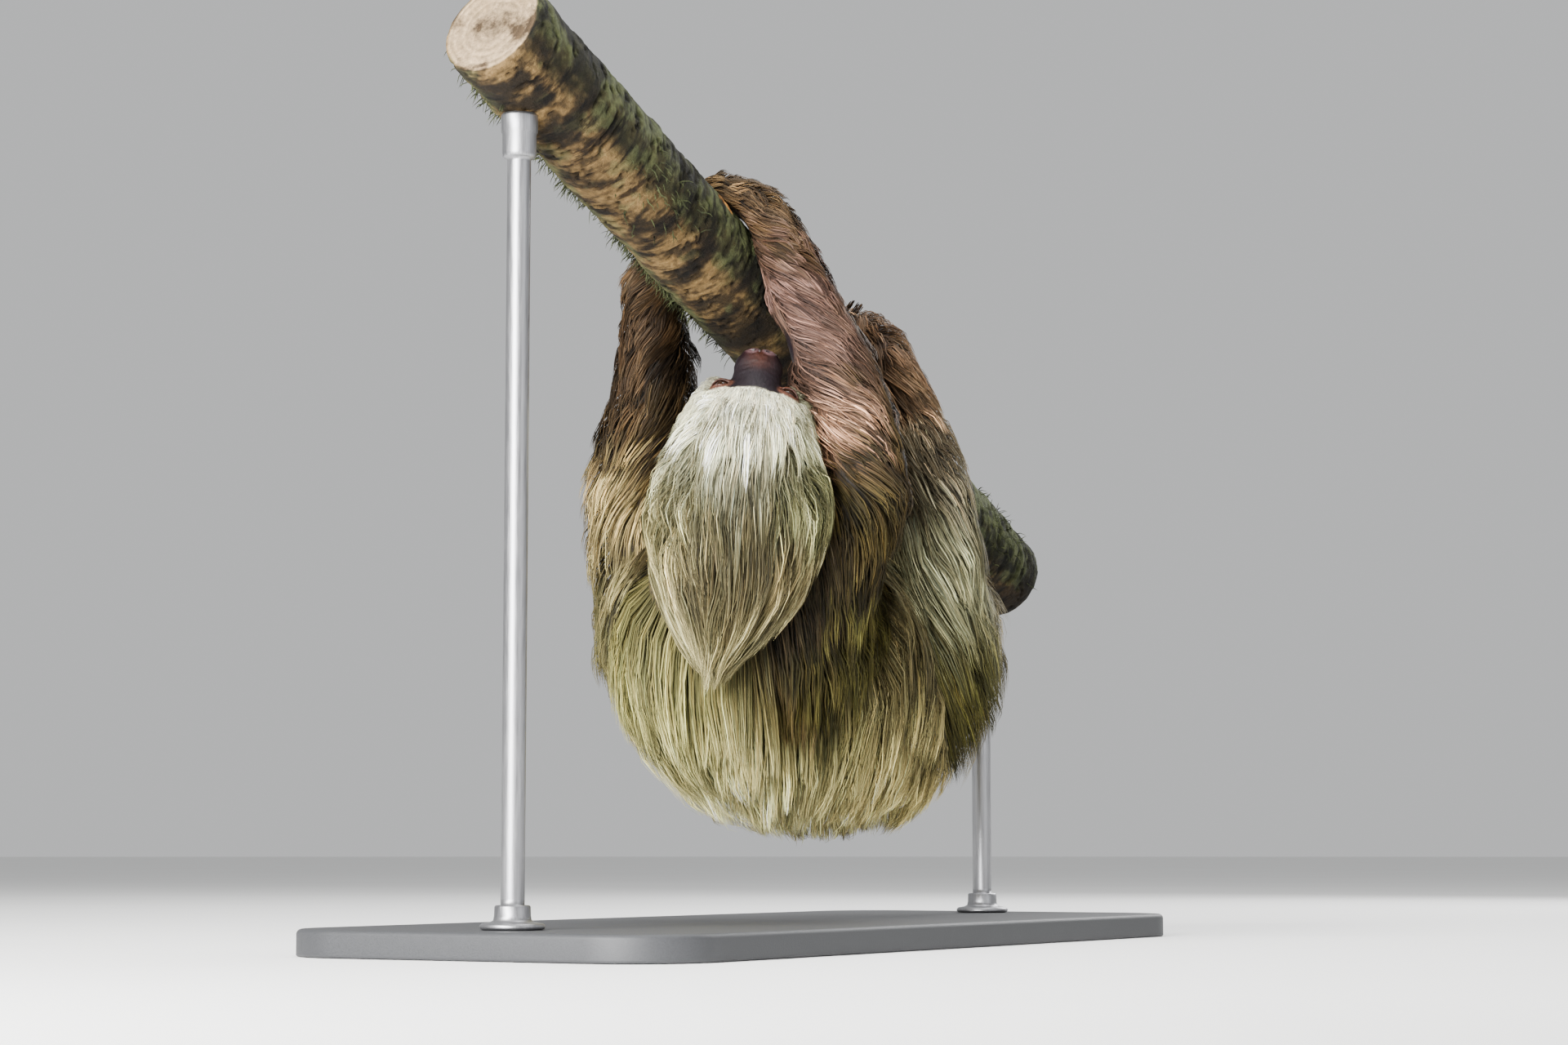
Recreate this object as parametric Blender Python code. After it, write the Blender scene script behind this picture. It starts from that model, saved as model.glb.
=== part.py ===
"""Life-size display model of a Hoffmann's two-toed sloth hanging from a cut length of trunk.

Units are metres, +Z is up and the origin is the middle of the stand's underside.
The sloth hangs belly up and curled: its head end and the trunk's high end point
towards -Y, its back hangs down, and its muzzle points up beside the trunk.
The flesh pieces reach out to the tips of the coat.
"""

import math

import bmesh
import bpy
from mathutils import Vector

GAP = 0.0003

# Perch: a cut length of trunk
PERCH_RADIUS = 0.0386
PERCH_HEADING_DEG = 59.95
PERCH_SLOPE_DEG = 22.4
PERCH_POINT = Vector((-0.034, -0.060, 0.492))
PERCH_HIGH_END = 0.335
PERCH_LOW_END = -0.490
PERCH_SWELL = 0.0008
PERCH_SIDES = 32
PERCH_RINGS = 4

# Display stand
BASE_LENGTH = 0.820
BASE_WIDTH = 0.320
BASE_THICKNESS = 0.018
BASE_CORNER = 0.060
BASE_BEVEL = 0.003
ROD_RADIUS = 0.008
ROD_HIGH = 0.300
ROD_LOW = -0.450

# Grips: distance along the trunk, angle round it from the sloth's right over the top
# (degrees) and distance from its axis, at the wrist or ankle and at the knuckles
GRIPS = {
    "hand_right": ((0.028, 10.0, 0.059), (0.052, 78.0, 0.050)),
    "hand_left": ((0.020, 180.0, 0.060), (-0.012, 138.0, 0.050)),
    "foot_right": ((-0.145, 10.0, 0.060), (-0.140, 72.0, 0.051)),
    "foot_left": ((-0.190, 170.0, 0.060), (-0.185, 108.0, 0.051)),
}
CLAW_COUNT = {"hand": 2, "foot": 3}
CLAW_LENGTH = {"hand": 0.075, "foot": 0.060}
CLAW_SPACING = {"hand": 0.0145, "foot": 0.0120}
CLAW_ROOT_RADIUS = 0.0046
CLAW_TIP_RADIUS = 0.0008
CLAW_CLEARANCE = 0.0012
CLAW_SIDES = 6
CLAW_RINGS = 6

# Joints of the body, under the coat
SHOULDER = {"right": Vector((0.006, -0.042, 0.230)), "left": Vector((-0.082, 0.024, 0.222))}
ELBOW = {"right": Vector((0.064, -0.088, 0.345)), "left": Vector((-0.110, 0.014, 0.354))}
HIP = {"right": Vector((0.095, 0.108, 0.226)), "left": Vector((0.014, 0.148, 0.240))}
FOREARM_BOW = {"right": Vector((0.003, 0.012, 0.0)), "left": Vector((0.012, 0.0, 0.0))}
KNEE = {"right": Vector((0.119, 0.010, 0.314)), "left": Vector((-0.054, 0.185, 0.319))}

# Head: the middle between the eyes, the way the muzzle points and the way the crown faces
EYE_MIDDLE = Vector((-0.015, -0.111, 0.406))
EYE_SPREAD = 0.0240
EYE_OUT = 0.0035
EYE_BACK = 0.0065
EYE_RADIUS = 0.0064
MUZZLE_LENGTH = 0.037
MUZZLE_TILT_DEG = 28.0
HEAD_ROLL_DEG = 8.0

BODY_SIDES = 20
LIMB_SIDES = 14
CAP_RINGS = 3

UP = Vector((0.0, 0.0, 1.0))
DOWN = -UP
FRONT = Vector((0.0, -1.0, 0.0))


def perch_axes():
    """Unit vectors along the trunk uphill, level to the sloth's right, and across upward."""
    heading = math.radians(PERCH_HEADING_DEG)
    slope = math.radians(PERCH_SLOPE_DEG)
    level = Vector((-math.cos(heading), -math.sin(heading), 0.0))
    along = level * math.cos(slope) + UP * math.sin(slope)
    right = UP.cross(level)
    return along, right, along.cross(right)


ALONG, RIGHT, OVER = perch_axes()


def round_the_perch(along, angle_deg, distance):
    """A point beside the trunk, its angle counted from the sloth's right over the top."""
    angle = math.radians(angle_deg)
    outward = RIGHT * math.cos(angle) + OVER * math.sin(angle)
    return PERCH_POINT + ALONG * along + outward * distance


def material(name, colour, roughness):
    """A plain Principled material."""
    made = bpy.data.materials.new(name)
    made.use_nodes = True
    shader = made.node_tree.nodes["Principled BSDF"]
    shader.inputs["Base Color"].default_value = (*colour, 1.0)
    shader.inputs["Roughness"].default_value = roughness
    shader.inputs["Metallic"].default_value = 0.0
    made.diffuse_color = (*colour, 1.0)
    return made


def smooth_between(values, place):
    """Catmull-Rom value at a place from 0 to 1 along evenly spaced numbers or vectors."""
    spans = len(values) - 1
    span = min(int(place * spans), spans - 1)
    t = place * spans - span
    before = values[span - 1] if span > 0 else values[0] * 2.0 - values[1]
    after = values[span + 2] if span + 2 <= spans else values[spans] * 2.0 - values[spans - 1]
    start, end = values[span], values[span + 1]
    return (start * 2.0 + (end - before) * t
            + (before * 2.0 - start * 5.0 + end * 4.0 - after) * t ** 2
            + (start * 3.0 - before - end * 3.0 + after) * t ** 3) * 0.5


def ring_points(middle, forward, side_ref, shape, sides):
    """Points of an oval ring whose half nearer side_ref has its own depth."""
    across, toward, away = shape
    facing = (side_ref - forward * side_ref.dot(forward)).normalized()
    side = forward.cross(facing)
    points = []
    for step in range(sides):
        angle = 2.0 * math.pi * step / sides
        depth = toward if math.sin(angle) > 0.0 else away
        points.append(middle + side * (across * math.cos(angle)) + facing * (depth * math.sin(angle)))
    return points


def loft_rings(stations, side_ref, spans, caps, grow):
    """Rings through the stations (point, across, toward, away), with a dome at each end."""
    middles = [Vector(station[0]) for station in stations]
    shapes = [Vector(station[1:]) + Vector((grow, grow, grow)) for station in stations]
    rings = []
    for step in range(spans + 1):
        place = step / spans
        ahead = smooth_between(middles, min(place + 0.01, 1.0))
        behind = smooth_between(middles, max(place - 0.01, 0.0))
        forward = (ahead - behind).normalized()
        rings.append((smooth_between(middles, place), forward, smooth_between(shapes, place)))
    first, last = rings[0], rings[-1]
    start_dome, end_dome = [], []
    for step in range(1, CAP_RINGS):
        angle = 0.5 * math.pi * step / CAP_RINGS
        reach, shrink = math.sin(angle), math.cos(angle)
        start_dome.insert(0, (first[0] - first[1] * (caps[0] + grow) * reach, first[1], first[2] * shrink))
        end_dome.append((last[0] + last[1] * (caps[1] + grow) * reach, last[1], last[2] * shrink))
    tips = (first[0] - first[1] * (caps[0] + grow), last[0] + last[1] * (caps[1] + grow))
    return start_dome + rings + end_dome, tips


def join_loops(build, loops):
    """Join each loop of vertices to the next, in triangles so that a grown copy runs parallel."""
    for lower, upper in zip(loops, loops[1:]):
        for step in range(len(lower)):
            after = (step + 1) % len(lower)
            build.faces.new((lower[step], lower[after], upper[after]))
            build.faces.new((lower[step], upper[after], upper[step]))


def loft_mesh(name, stations, side_ref, spans, caps, sides, grow=0.0):
    """A closed lofted mesh with domed ends."""
    rings, tips = loft_rings(stations, side_ref, spans, caps, grow)
    build = bmesh.new()
    loops = []
    for middle, forward, shape in rings:
        points = ring_points(middle, forward, side_ref, shape, sides)
        loops.append([build.verts.new(point) for point in points])
    join_loops(build, loops)
    for loop, tip in ((loops[0], tips[0]), (loops[-1], tips[1])):
        point = build.verts.new(tip)
        for step in range(sides):
            build.faces.new((loop[step], loop[(step + 1) % sides], point))
    return finish_mesh(name, build)


def finish_mesh(name, build):
    """Turn the faces outward, shade them smooth and return the mesh."""
    bmesh.ops.recalc_face_normals(build, faces=build.faces)
    mesh = bpy.data.meshes.new(name)
    build.to_mesh(mesh)
    build.free()
    mesh.shade_smooth()
    mesh.set_sharp_from_angle(angle=math.radians(40.0))
    return mesh


def add_node(name, mesh, surface):
    """Put a mesh in the scene as a named sub-part."""
    node = bpy.data.objects.new(name, mesh)
    mesh.materials.append(surface)
    bpy.context.scene.collection.objects.link(node)
    return node


def add_cutter(name, mesh):
    """Put a mesh in the scene as a hidden cutter."""
    cutter = bpy.data.objects.new(name + "_cutter", mesh)
    cutter.hide_render = True
    cutter.display_type = "WIRE"
    bpy.context.scene.collection.objects.link(cutter)
    return cutter


def cut(node, cutters):
    """Cut a node back where its neighbours lie."""
    for cutter in cutters:
        boolean = node.modifiers.new("cut_" + cutter.name, "BOOLEAN")
        boolean.operation = "DIFFERENCE"
        boolean.solver = "EXACT"
        boolean.object = cutter


class Part:
    """A lofted piece of the body: its node, and a copy grown by the gap that cuts its neighbours."""

    def __init__(self, name, surface, stations, side_ref, spans, caps, sides):
        outline = (stations, side_ref, spans, caps, sides)
        self.node = add_node(name, loft_mesh(name, *outline), surface)
        self.cutter = add_cutter(name, loft_mesh(name + "_cutter", *outline, grow=GAP))


def round_limb(name, surface, points, radii, caps, hang=0.0, spans=5):
    """A limb of round section; hang adds hair below it."""
    stations = [(point, radius, radius + hang, radius) for point, radius in zip(points, radii)]
    return Part(name, surface, stations, DOWN if hang else FRONT, spans, caps, LIMB_SIDES)


# The head

def head_axes():
    """Unit vectors of the head: to the muzzle's tip, to the head's right and out of the crown."""
    roll = math.radians(HEAD_ROLL_DEG)
    tilt = math.radians(MUZZLE_TILT_DEG)
    right = Vector((math.cos(roll), 0.0, -math.sin(roll)))
    upright = Vector((math.sin(roll), 0.0, math.cos(roll)))
    muzzle = upright * math.cos(tilt) - FRONT * math.sin(tilt)
    return muzzle, right, right.cross(muzzle)


MUZZLE_WAY, HEAD_RIGHT, HEAD_OUT = head_axes()


def on_head(right, out, forward):
    """A point given from the middle between the eyes along the head's own axes."""
    return EYE_MIDDLE + HEAD_RIGHT * right + HEAD_OUT * out + MUZZLE_WAY * forward


def make_head(surface):
    """The head with its cape of long hair, which narrows to a lock over the nape."""
    stations = [
        (Vector((-0.016, -0.106, 0.405)), 0.037, 0.020, 0.026),
        (Vector((-0.022, -0.110, 0.374)), 0.053, 0.037, 0.036),
        (Vector((-0.026, -0.113, 0.343)), 0.068, 0.046, 0.042),
        (Vector((-0.027, -0.115, 0.309)), 0.073, 0.048, 0.040),
        (Vector((-0.027, -0.120, 0.276)), 0.069, 0.042, 0.034),
        (Vector((-0.030, -0.127, 0.245)), 0.054, 0.034, 0.026),
        (Vector((-0.037, -0.133, 0.216)), 0.033, 0.023, 0.018),
        (Vector((-0.045, -0.136, 0.197)), 0.011, 0.011, 0.010),
    ]
    return Part("head", surface, stations, FRONT, 12, (0.012, 0.010), BODY_SIDES)


def make_muzzle(surface):
    """The bare muzzle, a short round snout with a blunt nose."""
    stations = [
        (on_head(0.000, 0.000, -0.016), 0.0205, 0.0200, 0.0180),
        (on_head(0.000, 0.000, 0.006), 0.0195, 0.0165, 0.0185),
        (on_head(0.000, 0.000, 0.020), 0.0183, 0.0145, 0.0175),
        (on_head(0.000, 0.001, MUZZLE_LENGTH - 0.007), 0.0160, 0.0125, 0.0150),
    ]
    return Part("muzzle", surface, stations, HEAD_OUT, 6, (0.006, 0.007), LIMB_SIDES)


def sphere_mesh(name, middle, radius):
    """A small ball."""
    build = bmesh.new()
    bmesh.ops.create_uvsphere(build, u_segments=12, v_segments=7, radius=radius)
    bmesh.ops.translate(build, verts=build.verts, vec=middle)
    return finish_mesh(name, build)


def make_eye(side, sign, surface):
    """An eyeball set in the side of the face."""
    name = "eye_" + side
    middle = on_head(sign * EYE_SPREAD, EYE_OUT, -EYE_BACK)
    add_node(name, sphere_mesh(name, middle, EYE_RADIUS), surface)
    return add_cutter(name, sphere_mesh(name + "_cutter", middle, EYE_RADIUS + GAP))


def make_ear(side, sign, surface):
    """A small round ear that just clears the hair, low on the side of the head."""
    root = on_head(sign * 0.038, -0.040, -0.042)
    tip = root + HEAD_RIGHT * (sign * 0.013) - HEAD_OUT * 0.009 - MUZZLE_WAY * 0.002
    stations = [(root, 0.0095, 0.003, 0.003), (tip, 0.0080, 0.002, 0.002)]
    return Part("ear_" + side, surface, stations, HEAD_OUT, 3, (0.002, 0.004), 12)


# Claws

def make_claws(grip, surface):
    """Hooked claws that carry on from the knuckles round the trunk."""
    wrist, knuckle = GRIPS[grip]
    limb = grip.split("_")[0]
    turn = 1.0 if knuckle[1] > wrist[1] else -1.0
    count = CLAW_COUNT[limb]
    names = {"hand": "fore_claw", "foot": "hind_claw"}
    claws = []
    for number in range(count):
        shift = (number - 0.5 * (count - 1)) * CLAW_SPACING[limb]
        name = f"{names[limb]}_{grip.split('_')[1]}_{number + 1}"
        claws.append(add_node(name, claw_mesh(name, knuckle, shift, turn, CLAW_LENGTH[limb]), surface))
    return claws


def claw_mesh(name, knuckle, shift, turn, length):
    """One claw: a tapered hook whose inner side stays clear of the trunk."""
    along, angle, _ = knuckle
    build = bmesh.new()
    loops = []
    for ring in range(CLAW_RINGS + 1):
        place = ring / CLAW_RINGS
        radius = CLAW_ROOT_RADIUS + (CLAW_TIP_RADIUS - CLAW_ROOT_RADIUS) * place ** 1.3
        distance = PERCH_RADIUS + PERCH_SWELL + CLAW_CLEARANCE + radius
        swept = math.degrees(length * place / distance)
        here = angle + turn * swept
        middle = round_the_perch(along + shift, here, distance)
        ahead = round_the_perch(along + shift, here + turn, distance)
        outward = round_the_perch(along + shift, here, distance + 1.0) - middle
        shape = (radius * 0.75, radius, radius)
        points = ring_points(middle, (ahead - middle).normalized(), outward, shape, CLAW_SIDES)
        loops.append([build.verts.new(point) for point in points])
    join_loops(build, loops)
    build.faces.new(loops[0])
    build.faces.new(loops[-1])
    return finish_mesh(name, build)


# Trunk, arms and legs of the animal

def make_torso(surface):
    """Chest to rump, with the long hair of the back hanging below."""
    stations = [
        (Vector((-0.032, -0.021, 0.236)), 0.108, 0.128, 0.088),
        (Vector((-0.004, 0.023, 0.229)), 0.126, 0.143, 0.100),
        (Vector((0.026, 0.068, 0.229)), 0.133, 0.147, 0.105),
        (Vector((0.056, 0.113, 0.234)), 0.137, 0.150, 0.105),
        (Vector((0.078, 0.145, 0.246)), 0.122, 0.134, 0.096),
    ]
    return Part("torso", surface, stations, DOWN, 10, (0.085, 0.062), BODY_SIDES)


def make_neck(surface):
    """The neck, bent so that the head turns up in front of the chest."""
    points = (Vector((-0.024, -0.090, 0.312)), Vector((-0.032, -0.060, 0.284)), Vector((-0.040, -0.028, 0.256)))
    return round_limb("neck", surface, points, (0.050, 0.056, 0.062), (0.020, 0.020))


def grip_points(grip):
    """The wrist or ankle and the knuckles of one grip."""
    return [round_the_perch(*place) for place in GRIPS[grip]]


def make_arm(side, surface):
    """Upper arm, forearm and hand of one side."""
    shoulder, elbow = SHOULDER[side], ELBOW[side]
    wrist, knuckles = grip_points("hand_" + side)
    middle = shoulder.lerp(elbow, 0.5)
    upper = round_limb("upper_arm_" + side, surface, (shoulder, middle, elbow),
                       (0.058, 0.048, 0.036), (0.045, 0.024), hang=0.004)
    bow = FOREARM_BOW[side]
    points = [elbow, elbow.lerp(wrist, 0.33) + bow, elbow.lerp(wrist, 0.66) + bow * 0.8, wrist]
    forearm = round_limb("forearm_" + side, surface, points, (0.035, 0.039, 0.030, 0.0205), (0.026, 0.010))
    bend = grip_bend("hand_" + side)
    hand = round_limb("hand_" + side, surface, (wrist, bend, knuckles), (0.0205, 0.0205, 0.0175), (0.008, 0.015), spans=4)
    return upper, forearm, hand


def make_leg(side, surface):
    """Thigh, shank and foot of one side."""
    hip, knee = HIP[side], KNEE[side]
    ankle, toes = grip_points("foot_" + side)
    middle = hip.lerp(knee, 0.5)
    thigh = round_limb("thigh_" + side, surface, (hip, middle, knee), (0.066, 0.058, 0.040), (0.050, 0.026), hang=0.022)
    points = [knee.lerp(ankle, place) for place in (0.0, 0.33, 0.66, 1.0)]
    shank = round_limb("shank_" + side, surface, points, (0.038, 0.040, 0.034, 0.024), (0.028, 0.012))
    bend = grip_bend("foot_" + side)
    foot = round_limb("foot_" + side, surface, (ankle, bend, toes), (0.024, 0.022, 0.018), (0.010, 0.015), spans=4)
    return thigh, shank, foot


def grip_bend(grip):
    """The point half-way round from the wrist or ankle to the knuckles."""
    start, end = GRIPS[grip]
    return round_the_perch(*[0.5 * (a + b) for a, b in zip(start, end)])


# Perch and stand

def perch_mesh(name, grow=0.0):
    """The cut trunk: a straight log with faint swellings and sawn ends."""
    build = bmesh.new()
    loops = []
    for ring in range(PERCH_RINGS + 1):
        place = ring / PERCH_RINGS
        along = PERCH_LOW_END + (PERCH_HIGH_END - PERCH_LOW_END) * place
        loop = []
        for step in range(PERCH_SIDES):
            angle = 360.0 * step / PERCH_SIDES
            swell = PERCH_SWELL * math.sin(math.radians(2.0 * angle) + 17.0 * place)
            loop.append(build.verts.new(round_the_perch(along, angle, PERCH_RADIUS + swell + grow)))
        loops.append(loop)
    join_loops(build, loops)
    build.faces.new(loops[0])
    build.faces.new(loops[-1])
    return finish_mesh(name, build)


def make_stand(perch_cutter, surface_base, surface_rod):
    """A flat base under two plain rods that reach up to the trunk."""
    add_node("stand_base", base_mesh(), surface_base)
    for name, along in (("stand_rod_high", ROD_HIGH), ("stand_rod_low", ROD_LOW)):
        top = PERCH_POINT + ALONG * along
        build = bmesh.new()
        height = top.z - BASE_THICKNESS - GAP
        bmesh.ops.create_cone(build, cap_ends=True, segments=24, radius1=ROD_RADIUS,
                              radius2=ROD_RADIUS, depth=height)
        middle = Vector((top.x, top.y, BASE_THICKNESS + GAP + 0.5 * height))
        bmesh.ops.translate(build, verts=build.verts, vec=middle)
        rod = add_node(name, finish_mesh(name, build), surface_rod)
        cut(rod, [perch_cutter])


def base_mesh():
    """A flat plate with rounded corners, its length under the trunk."""
    build = bmesh.new()
    half_length, half_width = 0.5 * BASE_LENGTH - BASE_CORNER, 0.5 * BASE_WIDTH - BASE_CORNER
    level = Vector((ALONG.x, ALONG.y, 0.0)).normalized()
    outline = []
    for corner, (a, b) in enumerate(((1, 1), (-1, 1), (-1, -1), (1, -1))):
        for step in range(7):
            angle = math.radians(90.0 * corner + 15.0 * step)
            length = a * half_length + BASE_CORNER * math.cos(angle)
            width = b * half_width + BASE_CORNER * math.sin(angle)
            outline.append(level * length + RIGHT * width)
    face = build.faces.new([build.verts.new(point) for point in outline])
    raised = bmesh.ops.extrude_face_region(build, geom=[face])
    top = [item for item in raised["geom"] if isinstance(item, bmesh.types.BMVert)]
    bmesh.ops.translate(build, verts=top, vec=UP * BASE_THICKNESS)
    top_set = set(top)
    rim = [edge for edge in build.edges if edge.verts[0] in top_set and edge.verts[1] in top_set]
    bmesh.ops.bevel(build, geom=rim, offset=BASE_BEVEL, segments=2, affect="EDGES", profile=0.5)
    return finish_mesh("stand_base", build)


def main():
    for leftover in list(bpy.data.objects):
        bpy.data.objects.remove(leftover)

    mane = material("coat_head", (0.62, 0.58, 0.46), 0.85)
    coat = material("coat_body", (0.42, 0.34, 0.22), 0.85)
    limb = material("coat_limbs", (0.20, 0.11, 0.07), 0.85)
    bare = material("bare_skin", (0.10, 0.06, 0.07), 0.50)
    eyeball = material("eyeball", (0.05, 0.02, 0.015), 0.15)
    horn = material("claw_horn", (0.16, 0.12, 0.09), 0.45)
    bark = material("bark", (0.45, 0.34, 0.22), 0.90)
    plate = material("stand_plate", (0.05, 0.05, 0.05), 0.50)
    steel = material("stand_steel", (0.30, 0.30, 0.30), 0.40)

    perch = add_node("perch", perch_mesh("perch"), bark)
    perch_cutter = add_cutter("perch", perch_mesh("perch_cutter", GAP))
    head = make_head(mane)
    muzzle = make_muzzle(bare)
    neck = make_neck(mane)
    torso = make_torso(coat)

    cut(head.node, [muzzle.cutter])
    ears, eyes = {}, {}
    for side, sign in (("left", -1.0), ("right", 1.0)):
        eyes[side] = make_eye(side, sign, eyeball)
        cut(head.node, [eyes[side]])
        cut(muzzle.node, [eyes[side]])
        ears[side] = make_ear(side, sign, bare)
        cut(ears[side].node, [head.cutter, neck.cutter])
    cut(neck.node, [head.cutter])
    cut(torso.node, [head.cutter, neck.cutter])

    for side in ("left", "right"):
        upper, forearm, hand = make_arm(side, limb)
        thigh, shank, foot = make_leg(side, limb)
        cut(upper.node, [head.cutter, neck.cutter, torso.cutter, ears[side].cutter])
        cut(forearm.node, [eyes[side], muzzle.cutter, head.cutter, neck.cutter, torso.cutter,
                           ears[side].cutter, upper.cutter, perch_cutter])
        cut(hand.node, [forearm.cutter, perch_cutter])
        cut(thigh.node, [torso.cutter, upper.cutter])
        cut(shank.node, [torso.cutter, upper.cutter, forearm.cutter, thigh.cutter, perch_cutter])
        cut(foot.node, [shank.cutter, forearm.cutter, perch_cutter])
        for grip, cutter in (("hand_" + side, hand.cutter), ("foot_" + side, foot.cutter)):
            for claw in make_claws(grip, horn):
                cut(claw, [cutter])

    make_stand(perch_cutter, plate, steel)


main()
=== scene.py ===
"""Looks of the life-size two-toed sloth that hangs from a cut length of trunk.

One skin is made from the distance to simple flesh shapes, and the coat grows out of it
as closed, tapered tufts. Metres, +Z up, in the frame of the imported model.
"""

import math

import bpy
import numpy as np
from mathutils import Matrix, Vector, kdtree
from mathutils.bvhtree import BVHTree


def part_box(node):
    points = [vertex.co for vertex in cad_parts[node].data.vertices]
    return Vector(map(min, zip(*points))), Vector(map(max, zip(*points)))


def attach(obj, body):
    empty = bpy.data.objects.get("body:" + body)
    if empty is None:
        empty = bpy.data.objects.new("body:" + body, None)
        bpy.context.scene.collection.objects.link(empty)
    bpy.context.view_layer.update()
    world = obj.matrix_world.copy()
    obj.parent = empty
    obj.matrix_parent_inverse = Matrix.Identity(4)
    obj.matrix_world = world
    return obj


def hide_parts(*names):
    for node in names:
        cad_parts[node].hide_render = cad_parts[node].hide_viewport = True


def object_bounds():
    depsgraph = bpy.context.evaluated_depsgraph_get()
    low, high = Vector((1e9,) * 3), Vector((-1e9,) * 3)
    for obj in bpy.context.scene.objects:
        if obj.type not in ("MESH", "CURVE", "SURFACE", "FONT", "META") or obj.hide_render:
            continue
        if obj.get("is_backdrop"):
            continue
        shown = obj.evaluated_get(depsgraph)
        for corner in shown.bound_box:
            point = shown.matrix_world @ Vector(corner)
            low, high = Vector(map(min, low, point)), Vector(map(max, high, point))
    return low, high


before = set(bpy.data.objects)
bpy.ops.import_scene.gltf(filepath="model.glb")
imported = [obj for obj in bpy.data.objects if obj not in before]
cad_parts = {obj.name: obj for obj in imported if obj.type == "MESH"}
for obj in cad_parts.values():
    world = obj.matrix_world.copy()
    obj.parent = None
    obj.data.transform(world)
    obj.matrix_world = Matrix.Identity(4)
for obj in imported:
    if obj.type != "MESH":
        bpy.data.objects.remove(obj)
CAD_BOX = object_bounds()

SEED = 20
UP = np.array((0.0, 0.0, 1.0))
DOWN = -UP
FRONT = np.array((0.0, -1.0, 0.0))


def vec(x, y, z):
    """A point or direction as an array."""
    return np.array((x, y, z), float)


def unit(vectors):
    """Vectors scaled to length one."""
    length = np.linalg.norm(vectors, axis=-1, keepdims=True)
    return vectors / np.maximum(length, 1e-9)


def dot(first, second):
    """Row by row dot product, kept as a column."""
    return np.sum(first * second, axis=-1, keepdims=True)


def smoothstep(low, high, value):
    """0 below low, 1 above high, smooth between."""
    t = np.clip((value - low) / (high - low), 0.0, 1.0)
    return t * t * (3.0 - 2.0 * t)


def mix(first, second, share):
    """The first value where share is 0, the second where it is 1."""
    return first * (1.0 - share) + second * share


def box_middle(node):
    """The middle of a CAD node's box."""
    low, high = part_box(node)
    return 0.5 * (np.array(low) + np.array(high))


# Places shared with the CAD

PERCH_RADIUS = 0.0386
PERCH_POINT = vec(-0.034, -0.060, 0.492)
PERCH_HEADING = math.radians(59.95)
PERCH_SLOPE = math.radians(22.4)
PERCH_ENDS = (-0.490, 0.335)
LEVEL = vec(-math.cos(PERCH_HEADING), -math.sin(PERCH_HEADING), 0.0)
ALONG = LEVEL * math.cos(PERCH_SLOPE) + UP * math.sin(PERCH_SLOPE)
RIGHT = np.cross(UP, LEVEL)
OVER = np.cross(ALONG, RIGHT)

GRIPS = {
    "hand_right": ((0.028, 10.0, 0.059), (0.052, 78.0, 0.050)),
    "hand_left": ((0.020, 180.0, 0.060), (-0.012, 138.0, 0.050)),
    "foot_right": ((-0.145, 10.0, 0.060), (-0.140, 72.0, 0.051)),
    "foot_left": ((-0.190, 170.0, 0.060), (-0.185, 108.0, 0.051)),
}
CLAW_COUNT = {"hand": 2, "foot": 3}
CLAW_LENGTH = {"hand": 0.075, "foot": 0.060}
CLAW_SPACING = {"hand": 0.0145, "foot": 0.0120}
CLAW_ROOT_RADIUS = 0.0046
CLAW_TIP_RADIUS = 0.0006

SHOULDER = {"right": vec(0.006, -0.042, 0.230), "left": vec(-0.082, 0.024, 0.222)}
ELBOW = {"right": vec(0.064, -0.088, 0.345), "left": vec(-0.110, 0.014, 0.354)}
BOW = {"right": vec(0.003, 0.012, 0.0), "left": vec(0.012, 0.0, 0.0)}
HIP = {"right": vec(0.095, 0.108, 0.226), "left": vec(0.014, 0.148, 0.240)}
KNEE = {"right": vec(0.119, 0.010, 0.314), "left": vec(-0.054, 0.185, 0.319)}
SIDES = {"left": -1.0, "right": 1.0}
ARM_NODES = ("upper_arm", "forearm", "hand")
LEG_NODES = ("thigh", "shank", "foot")
LIMB_NODES = {f"{kind}_{side}": [f"{node}_{side}" for node in nodes]
              for kind, nodes in (("arm", ARM_NODES), ("leg", LEG_NODES)) for side in SIDES}

EYE = {side: box_middle("eye_" + side) for side in SIDES}
EYE_RADIUS = 0.5 * (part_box("eye_left")[1][2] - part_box("eye_left")[0][2])
HEAD_ROLL = math.radians(8.0)
MUZZLE_TILT = math.radians(28.0)
EYE_FORWARD, EYE_OUT = -0.0065, 0.0035
UPRIGHT = vec(math.sin(HEAD_ROLL), 0.0, math.cos(HEAD_ROLL))
MUZZLE_WAY = UPRIGHT * math.cos(MUZZLE_TILT) - FRONT * math.sin(MUZZLE_TILT)
HEAD_RIGHT = vec(math.cos(HEAD_ROLL), 0.0, -math.sin(HEAD_ROLL))
HEAD_OUT = np.cross(HEAD_RIGHT, MUZZLE_WAY)
HEAD_MIDDLE = 0.5 * (EYE["left"] + EYE["right"]) - HEAD_OUT * EYE_OUT - MUZZLE_WAY * EYE_FORWARD


def round_the_perch(along, angle_deg, distance):
    """A point beside the trunk, its angle counted from the sloth's right over the top."""
    angle = math.radians(angle_deg)
    outward = RIGHT * math.cos(angle) + OVER * math.sin(angle)
    return PERCH_POINT + ALONG * along + outward * distance


def perch_distance(points):
    """Distance to the trunk's bark, as if the trunk had no ends."""
    away = points - PERCH_POINT
    return np.linalg.norm(away - dot(away, ALONG) * ALONG, axis=-1) - PERCH_RADIUS


def on_head(right, out, forward):
    """A point from the middle between the eyes, along the head's own axes."""
    return HEAD_MIDDLE + HEAD_RIGHT * right + HEAD_OUT * out + MUZZLE_WAY * forward


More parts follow.
